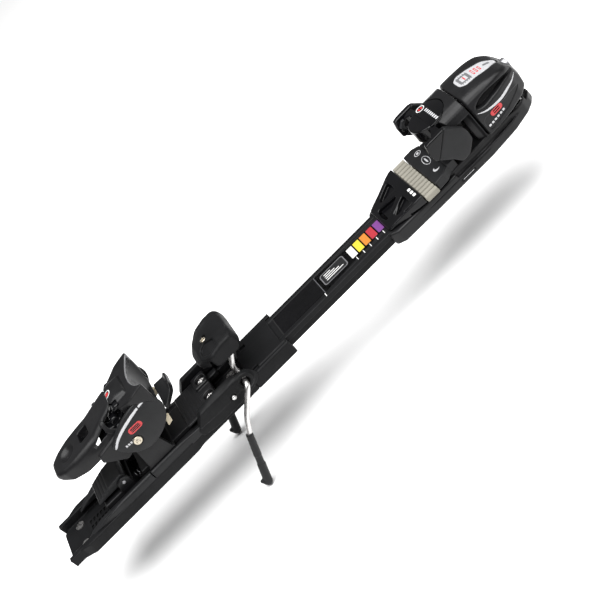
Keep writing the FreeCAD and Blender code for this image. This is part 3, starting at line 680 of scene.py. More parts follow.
def rail_pieces():
    """The centre rail, its channel insert and the marks of the size label."""
    low, high = reach_of(["centre_rail"])
    section = mirrored((17, 0.2, 0.2), (17, 8.5, 0.4), (21.5, 8.5, 0.5), (21.5, 14, 0.9), (15.5, 14, 0.5),
                       (15.5, 13, 0.1), across="u")
    tail, end = high[0] - 14, high[0] + 0.5
    taper = plate("z", [(low[0] - 5, -25), (tail, -21.6), (end, -17.2), (end, 17.2), (tail, 21.6),
                        (low[0] - 5, 25)], -5, 20, 0.2)
    body = meet(plate("x", section, low[0], high[0], 0.5), taper)
    piece("rail", body, COAL, ["centre_rail"], FINE * 1.4)
    bed = high[2] - 1
    top = bed + 0.4
    tile("label", oblong(1, 109.5, -15.2, 15.2, 1.2), bed, top, DARK, "size_label")
    tile("insert", oblong(-50, 0.2, -15.2, 15.2, 1.0), bed, top, GLOSS, "channel_insert")
    colours = [("white_block", (0.5, 0.5, 0.48)), ("yellow_block", (0.5, 0.4, 0.03)),
               ("orange_block", (0.42, 0.15, 0.02)), ("red_block", (0.3, 0.02, 0.03)),
               ("purple_block", (0.13, 0.035, 0.17))]
    for index, (name, colour) in enumerate(colours):
        x = 38 + 8 * index
        paint = ink(name, colour)
        tile(name, oblong(x, x + 6.6, -7.5, 9.5), top, top + 0.1, paint, "size_label")
        tile(name + "_tick", oblong(x + 3, x + 3.7, -14.5, -9.5, 0.2), top, top + 0.1, WHITE, "size_label")
    tile("centre_tick", oblong(-0.4, 0.4, -21, -15.9, 0.2), high[2] - 0.05, high[2] + 0.08, WHITE,
         "size_label")
    tile("label_frame", oblong(5, 33, -8, 10, 3), top, top + 0.08, GREY_INK_AND_HIGHLIGHT, "size_label")
    tile("label_field", oblong(6, 32, -7, 9, 2.4), top + 0.02, top + 0.12, DARK, "size_label")
    for index in range(4):
        y = -3.5 + index * 3
        tile(f"label_bar_{index}", oblong(9, 29 - 4 * index, y, y + 1.1, 0.5), top + 0.05, top + 0.16, WHITE,
             "size_label")


# ---------------------------------------------------------------- heel base, covers and brackets

def base_pieces():
    """The heel track, side covers, front plate, brake brackets and rivets."""
    hull = mirrored((-97, 29.3, 1), (-166, 29.3, 3), (-173, 31.5, 3), (-298, 31.5, 14), (-322, 21, 3))
    trough = slab((-340, 3.5), (-80, 30), 23, 0.6)
    body = carve(plate("z", hull, 0.2, 12, 1.2), trough, k=0.8)
    sill = both(box((-321, 23, 2), (-98, 28, 11.2), 0.5))
    piece("heel_track", join(body, meet(sill, grow(body, 6)), k=0.5), COAL, ["heel_base"])

    plan = flow((-119, 20), (-119.5, 29), (-150, 29.6), (-172, 31), (-205, 31.4), (-240, 31.2), (-270, 29.4),
                (-290, 25.6), (-300.5, 19.6), (-280, 19.2), (-200, 19.1), (-140, 19.1))
    shoulder = rounded((19, 5, 0.2), (19, 15, 1.2), (25.6, 15.6, 2), (28, 19.4, 2.4), (30.4, 17.6, 3),
                       (31.5, 10, 3), (31.5, 5, 0.2))
    crest = under([(-301, 8), (-290, 12), (-272, 16.2), (-250, 19), (-215, 20), (-180, 19), (-150, 15.4),
                   (-118, 14.6)])
    fairing = meet(plate("z", plan, 9.5, 20, 0.8), plate("x", shoulder, -301, -118, 0.5), crest, k=1.0)
    seam = box((-215.5, 15, 0), (-214.4, 40, 30), 0.1)
    fairing = carve(fairing, seam, k=0.5)
    pair(("fairing_left", "side_cover_left"), ("fairing_right", "side_cover_right"), fairing, DARK,
         FINE * 1.3, reach=([-301, 19, 9.5], [-118, 31.5, 20]))

    section = mirrored((29.3, 0.2, 0.5), (28.7, 13, 1.5), (27, 15.2, 1.5), across="u")
    board = plate("x", section, -97, -51, 0.7)
    room = slab((-62.2, -5), (-40, 14.1), 21.7, 0.2)
    mouth = slab((-56, 0), (-40, 40), 21.2, 1.2)
    notch = join(box((-90.5, 12.6, 12.6), (-84, 17.6, 20), 0.4), box((-90.5, -26, 12.6), (-84, -21, 20), 0.4))
    dip = both(plate("z", rounded((-96, 24.6, 1), (-52, 24.6, 1), (-52, 30, 1), (-96, 30, 1)), 14.4, 20, 0.2))
    lip = bar((-56.6, -20.8, 14.5), (-56.6, 20.8, 14.5), 0.7)
    front = carve(board, room, mouth, notch, dip, k=0.5)
    front = join(front, lip, k=0.4)
    piece("front_plate", front, COAL, ["heel_front_plate"], FINE * 1.3)

    outline = flow((-166, 8), (-160, 14.5), (-142, 21.5), (-118, 26.4), (-101, 28.6), (-91.5, 26.5),
                   (-87.6, 19), (-90, 11.5), (-100, 7.4), (-125, 6), (-150, 5.6))
    shield = meet(plate("y", outline, 29.5, 34.4, 1.2), ball((-124, 12, 12), (62, 22.6, 40)), k=1.5)
    boss = bolt(EYE, 8.4, 29.6, 35.3, 2.4)
    hole = bolt(EYE, 4.3, 20, 45, 0.2)
    seat = rod("y", (-117, 16), 2.7, 33, 40, 0.2)
    shelf_side = rounded((-158, 16.4, 1), (-147, 28.4, 4), (-128, 30, 10), (-106, 29.4, 6), (-99, 22, 3),
                         (-103, 16.4, 1))
    slant = rounded((24.8, 15, 0.5), (24.8, 29.8, 1.5), (27, 30.4, 1.5), (34.2, 27, 2.5), (34.4, 15, 0.5))
    shelf = meet(plate("y", shelf_side, 24.8, 34.4, 0.8), plate("x", slant, -165, -95, 0.4), k=1.2)
    ring = carve(join(shield, shelf, boss, k=2.5), hole, seat, k=1.6)
    pair(("bracket_left", "brake_bracket_left"), ("bracket_right", "brake_bracket_right"), ring, COAL, FINE,
         reach=([-166, 24.8, 5], [-87.6, 35.3, 31]))
    dome = meet(rod("y", (-117, 16), 2.2, 33, 35.8, 0.3), ball((-117, 32.6, 16), (3.4, 3.2, 3.4)), k=0.4)
    piece("rivets", both(dome), ZINC, ["bracket_rivets"], PRINT)


# ---------------------------------------------------------------- latch, tower and heel pad

def carriage_pieces():
    """The latch, the tower with its ears, and the boot pad."""
    deck = slab((-266, 11), (-231.5, 19.2), 18.6, 1.0)
    flange = slab((-268, 5), (-231.5, 11.7), 22.6, 0.6)
    side = rounded((-247, 17, 1), (-231.6, 17, 1), (-231.8, 27, 3), (-238, 29.6, 3), (-244, 27, 3))
    lugs = both(plate("y", side, 16.6, 19.4, 0.8))
    body = join(deck, flange, lugs, k=0.8)
    piece("latch_slider", body, BLACK, ["latch_carriage"])

    side = rounded((-234, 22.5, 1), (-233, 28, 3), (-236, 31.3, 2), (-252, 29.5, 3), (-268, 25, 2),
                   (-268.8, 21.6, 1), (-258, 22.5, 1), (-246, 22.5, 1))
    paddle = spanned(side, 16, 1.4)
    grips = join(*[bar((-266 + 4 * i, -20, 26.3 + 1.05 * i), (-266 + 4 * i, 20, 26.3 + 1.05 * i), 0.8)
                   for i in range(4)])
    bore = bolt(LATCH_PIN, 1.9, -20, 20, 0.1)
    piece("latch_axle", bolt(LATCH_PIN, 1.75, -20.6, 20.6, 0.4), DULL, ["latch_pin"],
          PRINT)
    piece("latch_paddle", carve(paddle, grips, bore, k=0.6), DARK, ["latch_lever"], FINE)

    deck = join(slab((-222, 15.4), (-127, 19), 18.8, 1.0),
                slab((-214, 17.2), (-183, 19.4), 26, 0.8))
    flange = slab((-222, 5), (-130, 11.7), 22.6, 0.6)
    neck = slab((-222, 11), (-130, 16), 18.6, 0.5)
    ear = rounded((-213, 17, 1), (-184, 17, 1), (-189, 53, 1), (-191, 58, 4), (-198, 62, 6), (-205, 58, 4),
                  (-207, 53, 1))
    ears = both(plate("y", ear, 21, 26, 1.0))
    brace = both(plate("x", rounded((14, 17, 0.5), (25.5, 17, 0.5), (25.5, 34, 1), (22, 34, 1)), -199.5,
                       -196.5, 0.6))
    bore = bolt(AXLE, 4.1, -40, 40, 0.2)
    tower = carve(join(deck, flange, neck, ears, k=1.5), bore, k=0.5)
    tower = join(tower, meet(brace, slab((-230, 0), (-150, 40), 25.9)), k=1.5)
    piece("tower", tower, BLACK, ["heel_tower"])

    pad = join(slab((-164, 19), (-127, 21.4), 24, 0.8),
               both(box((-141.6, 5, 19), (-126.8, 24, 24.2), 1.8)), k=1.0)
    cups = both(rod("z", (-133, 14), 5.4, 19.6, 40, 0.6))
    lines = join(*[slab((-162 + 4 * i, 21), (-160.6 + 4 * i, 30), 22, 0.2) for i in range(5)])
    piece("boot_pad", carve(pad, cups, lines, k=0.8), BLACK, ["heel_pad"])
    screws = both(cross_screw((-133, 14, 22.4), 4.7, 2.9))
    piece("pad_screws", screws, ZINC, ["heel_pad_screws"], PRINT * 1.2)


def cross_screw(top, radius, tall):
    """An upright screw head with a cross recess."""
    x, y, z = top
    head = meet(rod("z", (x, y), radius, z - tall, z, 0.6),
                ball((x, y, z - radius * 2), (radius * 2.3, radius * 2.3, radius * 2)), k=0.5)
    reach, half = radius * 0.55, radius * 0.13
    cross = join(box((x - reach, y - half, z - 1.6), (x + reach, y + half, z + 2), 0.1),
                 box((x - half, y - reach, z - 1.6), (x + half, y + reach, z + 2), 0.1),
                 ball((x, y, z - 0.4), (radius * 0.34, radius * 0.34, 1.6)))
    return carve(head, cross, k=0.3)


# ---------------------------------------------------------------- heel housing

def cheek_field():
    """The right cheek: a leaf-shaped cover with a crowned face."""
    outline = flow((-217, 64), (-209.5, 69.6), (-199, 74.6), (-186, 78.2), (-173.5, 79), (-165.4, 75.4),
                   (-161, 68.4), (-160.6, 59), (-165.4, 50), (-174, 43), (-183.5, 39), (-193, 37.6),
                   (-204, 41), (-213, 50.4), (-217, 58))
    leaf = plate("y", outline, -33.5, -26.6, 2.2)
    crown = ball((-189, -6, 58), (62, 27.4, 47))
    seat = bolt(AXLE, 4.9, -40, -32, 0.2)
    return carve(meet(leaf, crown, k=1.2), seat, k=0.5)


def housing_pieces():
    """The heel housing's core, cheeks, axle caps, cup and spacers."""
    side = rounded((-224, 63, 2), (-222, 43.5, 4), (-207, 37, 4), (-186, 35, 4), (-174, 41, 4),
                   (-170, 48.8, 1), (-187, 48.8, 1), (-187, 85, 1), (-191, 85.4, 2), (-199, 79, 3),
                   (-224, 66, 2))
    core = spanned(side, 20.5, 1.8)
    barrel = rod("x", (0, AXLE[2]), 7.1, -240, -216, 0.4)
    window = both(plate("y", flow((-208, 76), (-198, 82), (-190, 79), (-196, 73), (-206, 72.5)), 11, 30, 0.6))
    lobe = both(rod("y", (LEVER_PIN[0] + 1, LEVER_PIN[2] + 5), 4.2, 9, 20, 1.6))
    body = join(carve(core, barrel, window, k=1.0), meet(lobe, slab((-224, 35), (-187, 85.4), 20.5)),
                k=1.0)
    piece("housing", body, GLOSS, ["housing_core"])

    cheek = cheek_field()
    pair(("cheek_far", "cheek_left"), ("cheek_near", "cheek_right"), flip(cheek), DARK, FINE)
    head = carve(bolt(AXLE, 4.0, -33.8, -31.6, 0.6),
                 bolt(AXLE, 2.2, -40, -33.2, 0.3), k=0.3)
    head = join(head, ball((AXLE[0], -33.1, AXLE[2]), (1.4, 0.7, 1.4)), k=0.3)
    piece("axle_caps", join(head, flip(head)), BRASSY, ["cheek_screws"], PRINT * 1.3)

    stripe = stamp("y", flow((-216.4, 61.2), (-209.4, 67), (-199.2, 71.5), (-187, 74.5), (-176, 75.7),
                             (-166, 75.7), (-166, 74.4), (-176, 73.7), (-187, 71.9), (-199, 68.8),
                             (-209, 64.5), (-215, 60)))
    gap = box((-177.2, -50, 60), (-176, 0, 90), 0.01)
    pill = stamp("y", oblong(-198, -183.4, 60.6, 66.8, 2.9))
    slots = join(*[stamp("y", oblong(-195.6, -185.8, z, z + 0.9, 0.4)) for z in (61.9, 63.3, 64.7)])
    dashes = join(*[stamp("y", oblong(-209.2 + 2.7 * i, -207.3 + 2.7 * i, 54.6, 56.8, 0.3))
                    for i in range(4)])
    printed_pair(cheek, "cheek_left", "cheek_right", ([-218, -34, 34], [-157, -26, 81]),
                 ("stripe", carve(stripe, gap), SILVER), ("pill", carve(pill, slots), RED),
                 ("dashes", dashes, SILVER))

    cup_pieces()
    wedge = both(plate("y", rounded((-173, 37, 0.6), (-167.4, 38.6, 0.6), (-165.6, 45, 1), (-170, 47, 1)),
                       22.4, 26.2, 0.5))
    piece("spacers", wedge, WEDGE, ["heel_cup"], FINE, replace=False,
          reach=([-173, -26.4, 34], [-163.4, 26.4, 47]))


def prow_field():
    """The back of the heel cup: a full-width prow that runs back over the lever's front end."""
    side = rounded((-176, 66, 1), (-176, 87, 2), (-186, 88.6, 3), (-193.5, 86.2, 3), (-199, 77, 3.4),
                   (-197, 72, 2.6), (-191.4, 73, 2), (-189.4, 77.6, 2), (-184, 77.6, 3), (-182, 66, 1))
    plan = mirrored((-170, -25, 1), (-188, -25, 6), (-201, -13, 7))
    return meet(spanned(side, 25, 1.4), plate("z", plan, 60, 92, 1.0),
                plate("x", lever_section(), -220, -150, 0.2), k=2.0)


def cup_pieces():
    """The heel cup with its badge, and the spur in front of it."""
    half = 31.4
    side = rounded((-190.6, 49.6, 1), (-186, 49, 1), (-174, 45.6, 4), (-166, 48.5, 3), (-162.4, 58, 3),
                   (-158.6, 89.6, 1), (-164, 89.6, 2), (-176, 86, 9), (-190.6, 84.6, 3))
    plan = mirrored((-158.5, half, 3), (-176, half, 7), (-190.6, 22.5, 5))
    shell = meet(spanned(side, half, 1.4), plate("z", plan, 42, 92, 1.0), k=3.0)

    def crest(x, y, z):
        """The rim, low over the middle and rising to a horn at each side."""
        share = np.abs(y) / half
        front = np.clip((x + 190.6) / 32, 0, 1)
        return (z - (83.6 + 1.5 * front * share + 4.4 * share ** 3 * front)) * 0.8

    bowl = rod("z", (-129, 0), 41, 49, 140, 3.0)
    scallop = both(ball((-157, 27, 60), (7, 9, 8)))
    ear_room = both(box((-201, 20.4, 20), (-182, 26.7, 63.2), 0.4))
    core_room = slab((-201, 20), (-186.9, 85.6), 20.7, 0.4)
    nose_room = slab((-190.5, 20), (-168.9, 49), 20.7, 0.4)
    cheeks = both(grow(flip(cheek_field()), 0.15))
    body = carve(meet(shell, crest, k=2.0), bowl, k=0.9)
    body = carve(body, ear_room, core_room, nose_room, cheeks, k=0.4)
    trunk = meet(prow_field(), opposite(cheeks), opposite(core_room), opposite(ear_room))
    body = join(carve(body, meet(scallop, before("x", -163))), trunk, k=2.0)
    piece("cup", body, BLACK, ["heel_cup"], FINE * 1.3, reach=([-202, -half, 42], [-158.5, half, 89.6]))
    # A thin lighter band just inside the bowl's upper rim: a painted highlight along the rim's edge, in the
    # grey ink colour.
    edge = meet(grow(bowl, 0.75), opposite(bowl), past("z", 80))
    printed(body, "heel_cup", ([-176, -31, 80], [-158.6, 31, 89.7]), ("cup_edge", edge, GREY_INK_AND_HIGHLIGHT), lift=0.06)
    badge = (-191.5, 0.5, 86.4)
    ring = carve(ball(badge, (4.4, 4.4, 4.4)), ball(badge, (3.4, 3.4, 3.4)))
    printed(body, "heel_cup", ([-199, -6, 76], [-184, 7, 92]), ("cup_ring", ring, WHITE),
            ("cup_dot", ball(badge, (2.3, 2.3, 2.3)), RED))

    plan = rounded((-149.4, 1, 4), (-161, -15, 5), (-165, -17, 1), (-165, 25, 1), (-152, 21.6, 2),
                   (-148.4, 17, 1.5))
    side = rounded((-165, 43.4, 0.5), (-152, 44, 2), (-148.2, 48, 1), (-148, 52.8, 0.8), (-150.4, 52.8, 0.8),
                   (-153.4, 48.6, 2), (-165, 47.4, 0.5))
    spur = meet(plate("z", plan, 40, 56, 0.5), spanned(side, 25, 0.6), k=0.8)
    piece("spur", spur, DARK, ["tread_spur"], FINE, reach=([-165, -24, 43.4], [-147.7, 24, 53.6]))


# ---------------------------------------------------------------- heel lever

def lever_section():
    """The lever's cross section: a ridge with sloping flanks."""
    return mirrored((13, 89, 9), (25.4, 66, 8), (25.4, 62, 9), (22, 54, 6), across="u")


def lever_pieces():
    """The heel lever and its pin."""
    half = 25.4
    side = rounded((-193, 88, 2), (-191, 84, 3), (-193.6, 75, 4), (-197.5, 65, 5), (-226, 57.5, 16),
                   (-247, 55.4, 12), (-263, 57.6, 8), (-272, 61.6, 6), (-275, 67.6, 4), (-271, 72.2, 5),
                   (-248, 75, 10), (-224, 78, 12))
    plan = mirrored((-188, half, 1), (-224, 24.6, 12), (-250, 20.5, 14), (-264, 16, 9), (-275.4, 8, 7))
    whole = meet(spanned(side, half, 2.5), plate("z", plan, 40, 100, 2.0),
                 plate("x", lever_section(), -280, -180, 0.5), k=5.0)
    core_side = [(-229, 40), (-229, 70.6), (-200, 82.3), (-180, 92), (-180, 40)]
    core_room = spanned(core_side, 20.9, 0.4)
    slot = slab((-237, 40), (-225.5, 100), 8, 2.4)
    dimple = ball((-254.5, 0, 78.5), (10, 10.5, 8.5))
    scoop = both(ball((-228, 32, 73), (22, 9.5, 7)))
    under_tail = ball((-252, 0, 52), (16, 15, 7))
    hole = rounded((-207, 81, 2), (-207.4, 75, 4), (-203, 69.6, 4), (-196, 68.4, 4), (-189, 70.4, 4),
                   (-184, 75, 1), (-184, 96, 1), (-205, 96, 1))
    opening = both(plate("y", hole, 16, 40, 0.8))
    rim = both(join(bar((-209.6, 18.6, 81.5), (-210, 22.4, 74.5), 2.2),
                    bar((-210, 22.4, 74.5), (-204.6, 24.4, 67.4), 2.2),
                    bar((-204.6, 24.4, 67.4), (-196, 24.4, 65.6), 2.2), k=1.0))
    flank = both(plate("y", rounded((-234, 56, 2), (-231, 53, 4), (-224.5, 47.4, 5), (-217, 41, 3),
                                    (-208, 44, 3), (-203, 58, 3), (-206, 67, 2), (-232, 63, 2)), 21.2, 25.2,
                       1.2))
    body = carve(whole, core_room, dimple, k=1.6)
    body = carve(body, scoop, under_tail, k=3.0)
    body = carve(join(body, meet(rim, grow(whole, 0.9)), flank, k=1.5), opening, slot, k=1.2)
    body = carve(body, grow(prow_field(), 0.5), past("x", -192.5))
    piece("lever", body, BLACK, ["heel_lever"], FINE * 1.3, reach=([-275.4, -26, 40], [-188, 26, 89]))
    boss = both(bolt(LEVER_PIN, 2.0, 20.8, 24.8, 0.5))
    pin = join(bolt(LEVER_PIN, 1.95, -24.6, 24.6, 0.5), boss)
    piece("lever_pin_round", pin, DULL, ["lever_pin"], FINE)


# ---------------------------------------------------------------- brake

def brake_pieces():
    """The brake's wire, arm tips, carrier and pedal."""
    route = [(KNEE[0], 0, KNEE[2]), (KNEE[0], -19, KNEE[2]), (EYE[0], -21, EYE[2] + 10),
             (EYE[0], -21, EYE[2]), (EYE[0], -41, EYE[2]), (-122, -43, -2), (-133, -45, -18),
             (-140, -46, -33)]
    mirror = [(x, -y, z) for x, y, z in reversed(route[1:])]
    wire_piece("brake_wire", mirror + route[1:], 2.5, WIRE, ["brake_arms"], bend=4.5)
    start, end = Vector((-131.5, -45, -15.5)), Vector((-153, -46, -65))
    run = end - start

    def along(share, out=0.0):
        return tuple(start + run * share + Vector((-0.917, 0, 0.398)) * out)

    body = join(bar(along(0.0), along(0.52), 3.3, 3.7), bar(along(0.5), along(0.96), 3.8, 4.1), k=0.8)
    hook = bar(along(0.99), along(0.93, 5.0), 2.6, 1.8)
    groove = meet(carve(bar(along(0.495), along(0.515), 5.4), bar(along(0.3), along(0.7), 3.35)),
                  bar(along(0.5), along(0.51), 6))
    tip = join(carve(body, groove, k=0.3), meet(hook, grow(body, 6)), k=2.0)
    tip = carve(tip, bar(along(-0.3), along(0.02), 2.6), k=0.3)
    pair(("tip_far", "brake_tip_left"), ("tip_near", "brake_tip_right"), flip(tip), DARK, FINE)

    side = rounded((-97.5, 30, 1), (-92, 31, 1), (-84, 44, 2), (-89, 48, 2))
    ribs = both(box((-100, 6, 28), (-80, 8.4, 50), 0.4))
    board = spanned(side, 17.4, 0.9)
    piece("carrier", carve(board, meet(both(box((-100, 9.5, 34), (-91.5, 15, 46), 0.5)), ribs), k=0.4), BLACK,
          ["pedal_carrier"], FINE)

    half = 27.8
    side = rounded((-121.3, 45, 3), (-119, 41.9, 2), (-112, 43, 4), (-84, 42.3, 4), (-77, 44.3, 4),
                   (-75.6, 52, 5), (-78, 60, 5), (-84, 62.3, 6), (-92, 62.3, 8), (-103, 60, 8), (-114, 56, 6),
                   (-120.6, 50.4, 4))
    plan = mirrored((-75.2, -18, 8), (-82, -half, 7), (-105, -half, 6), (-121.4, -8, 8))
    pad = meet(spanned(side, half, 1.5), plate("z", plan, 30, 80, 1.0), k=3.4)
    ridge = [(-122, 49.5), (-114, 56), (-103, 60), (-92, 62.3), (-84, 62.3), (-76, 60)]
    pad = meet(pad, under(ridge, 4.2, 28), k=2.5)
    inside = [(-111, 20), (-111, 50), (-102, 53.5), (-92, 57), (-80, 57), (-80, 20)]
    room = spanned(inside, 24, 1.0)
    lugs = both(meet(join(bolt(KNEE, 4.9, 7, 13, 0.8),
                          box((KNEE[0] - 4.9, 7, KNEE[2]), (KNEE[0] + 4.4, 13, 60), 0.5)), before("z", 60)))
    seat = rod("z", (-102, 0), 4.0, 57.4, 80, 0.4)
    patch = rounded((-103, -5.6, 2), (-94, -12, 3), (-95, -21, 3), (-104, -22, 4), (-111, -14, 4),
                    (-110, -7, 3))
    hollow = meet(plate("z", patch, 20, 90, 0.5), opposite(under([(x, z - 2.8) for x, z in ridge], 4.2, 28)))
    rim_line = meet(plate("z", mirrored((-80, -20, 6), (-104, -23.5, 6), (-115, -17, 6)), 20, 90, 0.3),
                    opposite(under([(x, z - 0.5) for x, z in ridge], 4.2, 28)))
    crossbar = bolt(KNEE, 2.6, -22, 22, 0.2)
    body = join(carve(pad, room, k=0.8), lugs, k=0.8)
    body = carve(body, rim_line, k=0.8)
    body = carve(body, seat, hollow, both(hollow), crossbar, k=1.4)
    piece("pedal", body, COAL, ["pedal_pad"], FINE * 1.2)
    piece("pedal_fixing", meet(cross_screw((-102, 0, 59.2), 2.9, 4.4), past("z", 54)), BRASSY,
          ["pedal_screw"], PRINT)


# ---------------------------------------------------------------- toe base, ramp and plates

def toe_base_pieces():
    """The toe base, ramp, glide pad, sole plate and pivot post."""
    plan = mirrored((246, -8, 3), (241, -15, 5), (233, -21, 9), (215, -27, 20), (185, -30.4, 20),
                    (126, -30.4, 20), (82, -29.4, 5), (74, -24, 4))
    hull = plate("z", plan, 0.6, 14.5, 2.2)
    deck_plan = mirrored((241, -10, 3), (232, -18, 8), (214, -24, 15), (185, -26.4, 15), (100, -26.4, 2))
    deck = plate("z", deck_plan, 12, 17, 1.0)
    moat = meet(plate("z", plan, 10, 30, 0.2), opposite(grow(plate("z", deck_plan, -20, 60), 0.3)))
    moat = meet(moat, past("x", 150), opposite(slab((140, 0), (238, 40), 23.4)))
    stem = slab((60, -5), (236, 12), 17.3, 0.3)
    head = plate("z", [(60, -21.8), (221.5, -21.8), (236, -17.6), (236, 17.6), (221.5, 21.8), (60, 21.8)],
                 8.2, 14.3, 0.2)
    lid = slab((195, 14.35), (234, 15.5), 22.4, 0.3)
    clips = both(box((150.6, 29.4, 4), (166.4, 40, 6.8), 0.3))
    groove = both(box((100, 29.9, 8.2), (226, 40, 9.1), 0.2))
    body = carve(join(hull, deck, k=1.2), moat, k=1.0)
    body = join(carve(body, stem, head, clips, k=0.3), meet(lid, plate("z", plan, 10, 20, 0.2)))
    piece("toe_hull", carve(body, meet(groove, grow(hull, 1)), k=0.5), BLACK, ["toe_base"])
    piece("clips", both(box((151, 29.5, 4.3), (166, 30.3, 6.5), 0.2)), COAL, ["lock_clips"], PRINT)
    clip_line = both(bar((152.5, 30.25, 5.4), (164.5, 30.25, 5.4), 0.22))
    piece("clip_lines", clip_line, SILVER, ["lock_clips"], PRINT * 0.6, margin=0.4, replace=False)

    slope = [(77, 16.8), (84, 18.8), (113, 25.6), (118, 25.7)]
    side = rounded((77.2, 14.6, 0.3), (99.9, 14.6, 0.1), (99.9, 17.1, 0.1), (117.2, 17.1, 0.5),
                   (117.2, 25.7, 1.2), (113, 25.7, 2), (84, 18.9, 2), (77.4, 17, 1))
    plan = mirrored((117.5, -33.8, 1.2), (108, -32, 6), (92, -26, 8), (77, -22, 4))
    ramp = meet(spanned(side, 35, 0.5), plate("z", plan, 10, 30, 0.6), k=1.4)
    deep = under([(x, z - 3.6) for x, z in slope])
    shallow = under([(x, z - 1.6) for x, z in slope])
    centre = plate("z", rounded((104, 0, 2), (82.5, -11, 2), (80.5, 0, 6), (82.5, 11, 2)), 0, 40, 0.2)
    wings = both(plate("z", rounded((106.5, 8, 2), (106.5, 25.5, 3), (92, 19.5, 3), (88.5, 13.6, 2)), 0, 40,
                       0.2))
    outer = both(plate("z", rounded((111, 29.5, 1), (100, 27.4, 2), (95, 24.6, 1), (104, 27.4, 2)), 0, 40,
                       0.2))
    ramp = carve(ramp, meet(centre, opposite(deep)), meet(wings, opposite(deep)), k=1.0)
    ramp = carve(ramp, meet(outer, opposite(shallow)), k=1.0)
    spokes = both(bar((107, 4.5, 22.6), (87, 16.6, 17.6), 1.2))
    spoke_top = meet(spokes, under([(x, z - 0.4) for x, z in slope]))
    ramp = join(ramp, meet(spoke_top, plate("z", plan, 12, 30)), k=0.8)
    piece("ramp", ramp, GLOSS, ["toe_ramp"], FINE * 1.2)
    for index, y in enumerate((-23.5, -18, -12.5)):
        tile(f"ramp_mark_{index}", oblong(111.9, 114.9, y - 1.9, y + 1.9, 0.8), 25.55, 25.82, WHITE,
             "toe_ramp")

    piece("guide", slab((120, 17), (128.5, 19.6), 24, 0.5), ZINC, ["pad_guide"], FINE)
    board = slab((117.5, 17.5), (131, 20.2), 36.4, 0.8)
    ribs = join(*[rod("x", ((i - 5.5) * 6.1, 20.9), 2.5, 117.6, 130.9, 0.6) for i in range(12)], k=0.3)
    room = slab((119.7, 10), (128.8, 19.9), 33, 0.2)
    pad = carve(join(board, ribs, k=0.8), room)
    piece("glide_pad", pad, PALE, ["antifriction_pad"], FINE, margin=0.8)

    side = rounded((131.3, 17, 0.2), (157.9, 17, 0.2), (157.9, 25.5, 1), (150, 26.3, 4), (131.3, 24.9, 1))
    plan = mirrored((158, -26, 1), (150, -27, 4), (142, -32.8, 5), (131.2, -33.9, 2))
    boot_plate = meet(spanned(side, 35, 0.4), plate("z", plan, 10, 30, 0.5), k=1.0)
    line = slab((148.6, 25.2), (149.3, 40), 40, 0.1)
    body = carve(boot_plate, line, k=0.5)
    piece("sole", body, DARK, ["sole_plate"], FINE * 1.2)
    disc = carve(dot("z", (142.5, 20), 3.6), dot("z", (142.5, 20), 2.8))
    disc = join(disc, dot("z", (142.5, 20), 1.5))
    oval_ring = carve(oval("z", (142.6, 2), (3.6, 8), 20, 30, 0.02),
                      oval("z", (142.6, 2), (2.9, 7.2), 10, 40, 0.02))
    oval_ring = join(oval_ring, oval("z", (142.6, 2), (0.9, 4.6), 20, 30, 0.02))
    moon = carve(dot("z", (142.4, -19), 3.4), dot("z", (144, -17.6), 3.1))
    printed(body, "sole_plate", ([132, -27, 23], [158, 25, 27]), ("icon_disc", disc, SILVER),
            ("icon_oval", oval_ring, SILVER), ("icon_moon", moon, SILVER))
    screws = both(cross_screw((144, 17, 24.3), 4.3, 4.3))
    piece("sole_screws", screws, DULL, ["sole_plate_screws"], PRINT * 1.2)
    post = meet(rod("z", (POST[0], POST[1]), 5.95, 17.1, 55.9, 0.6), before("z", 56))
    piece("post", post, ZINC, ["pivot_post"], FINE)


# ---------------------------------------------------------------- toe housing

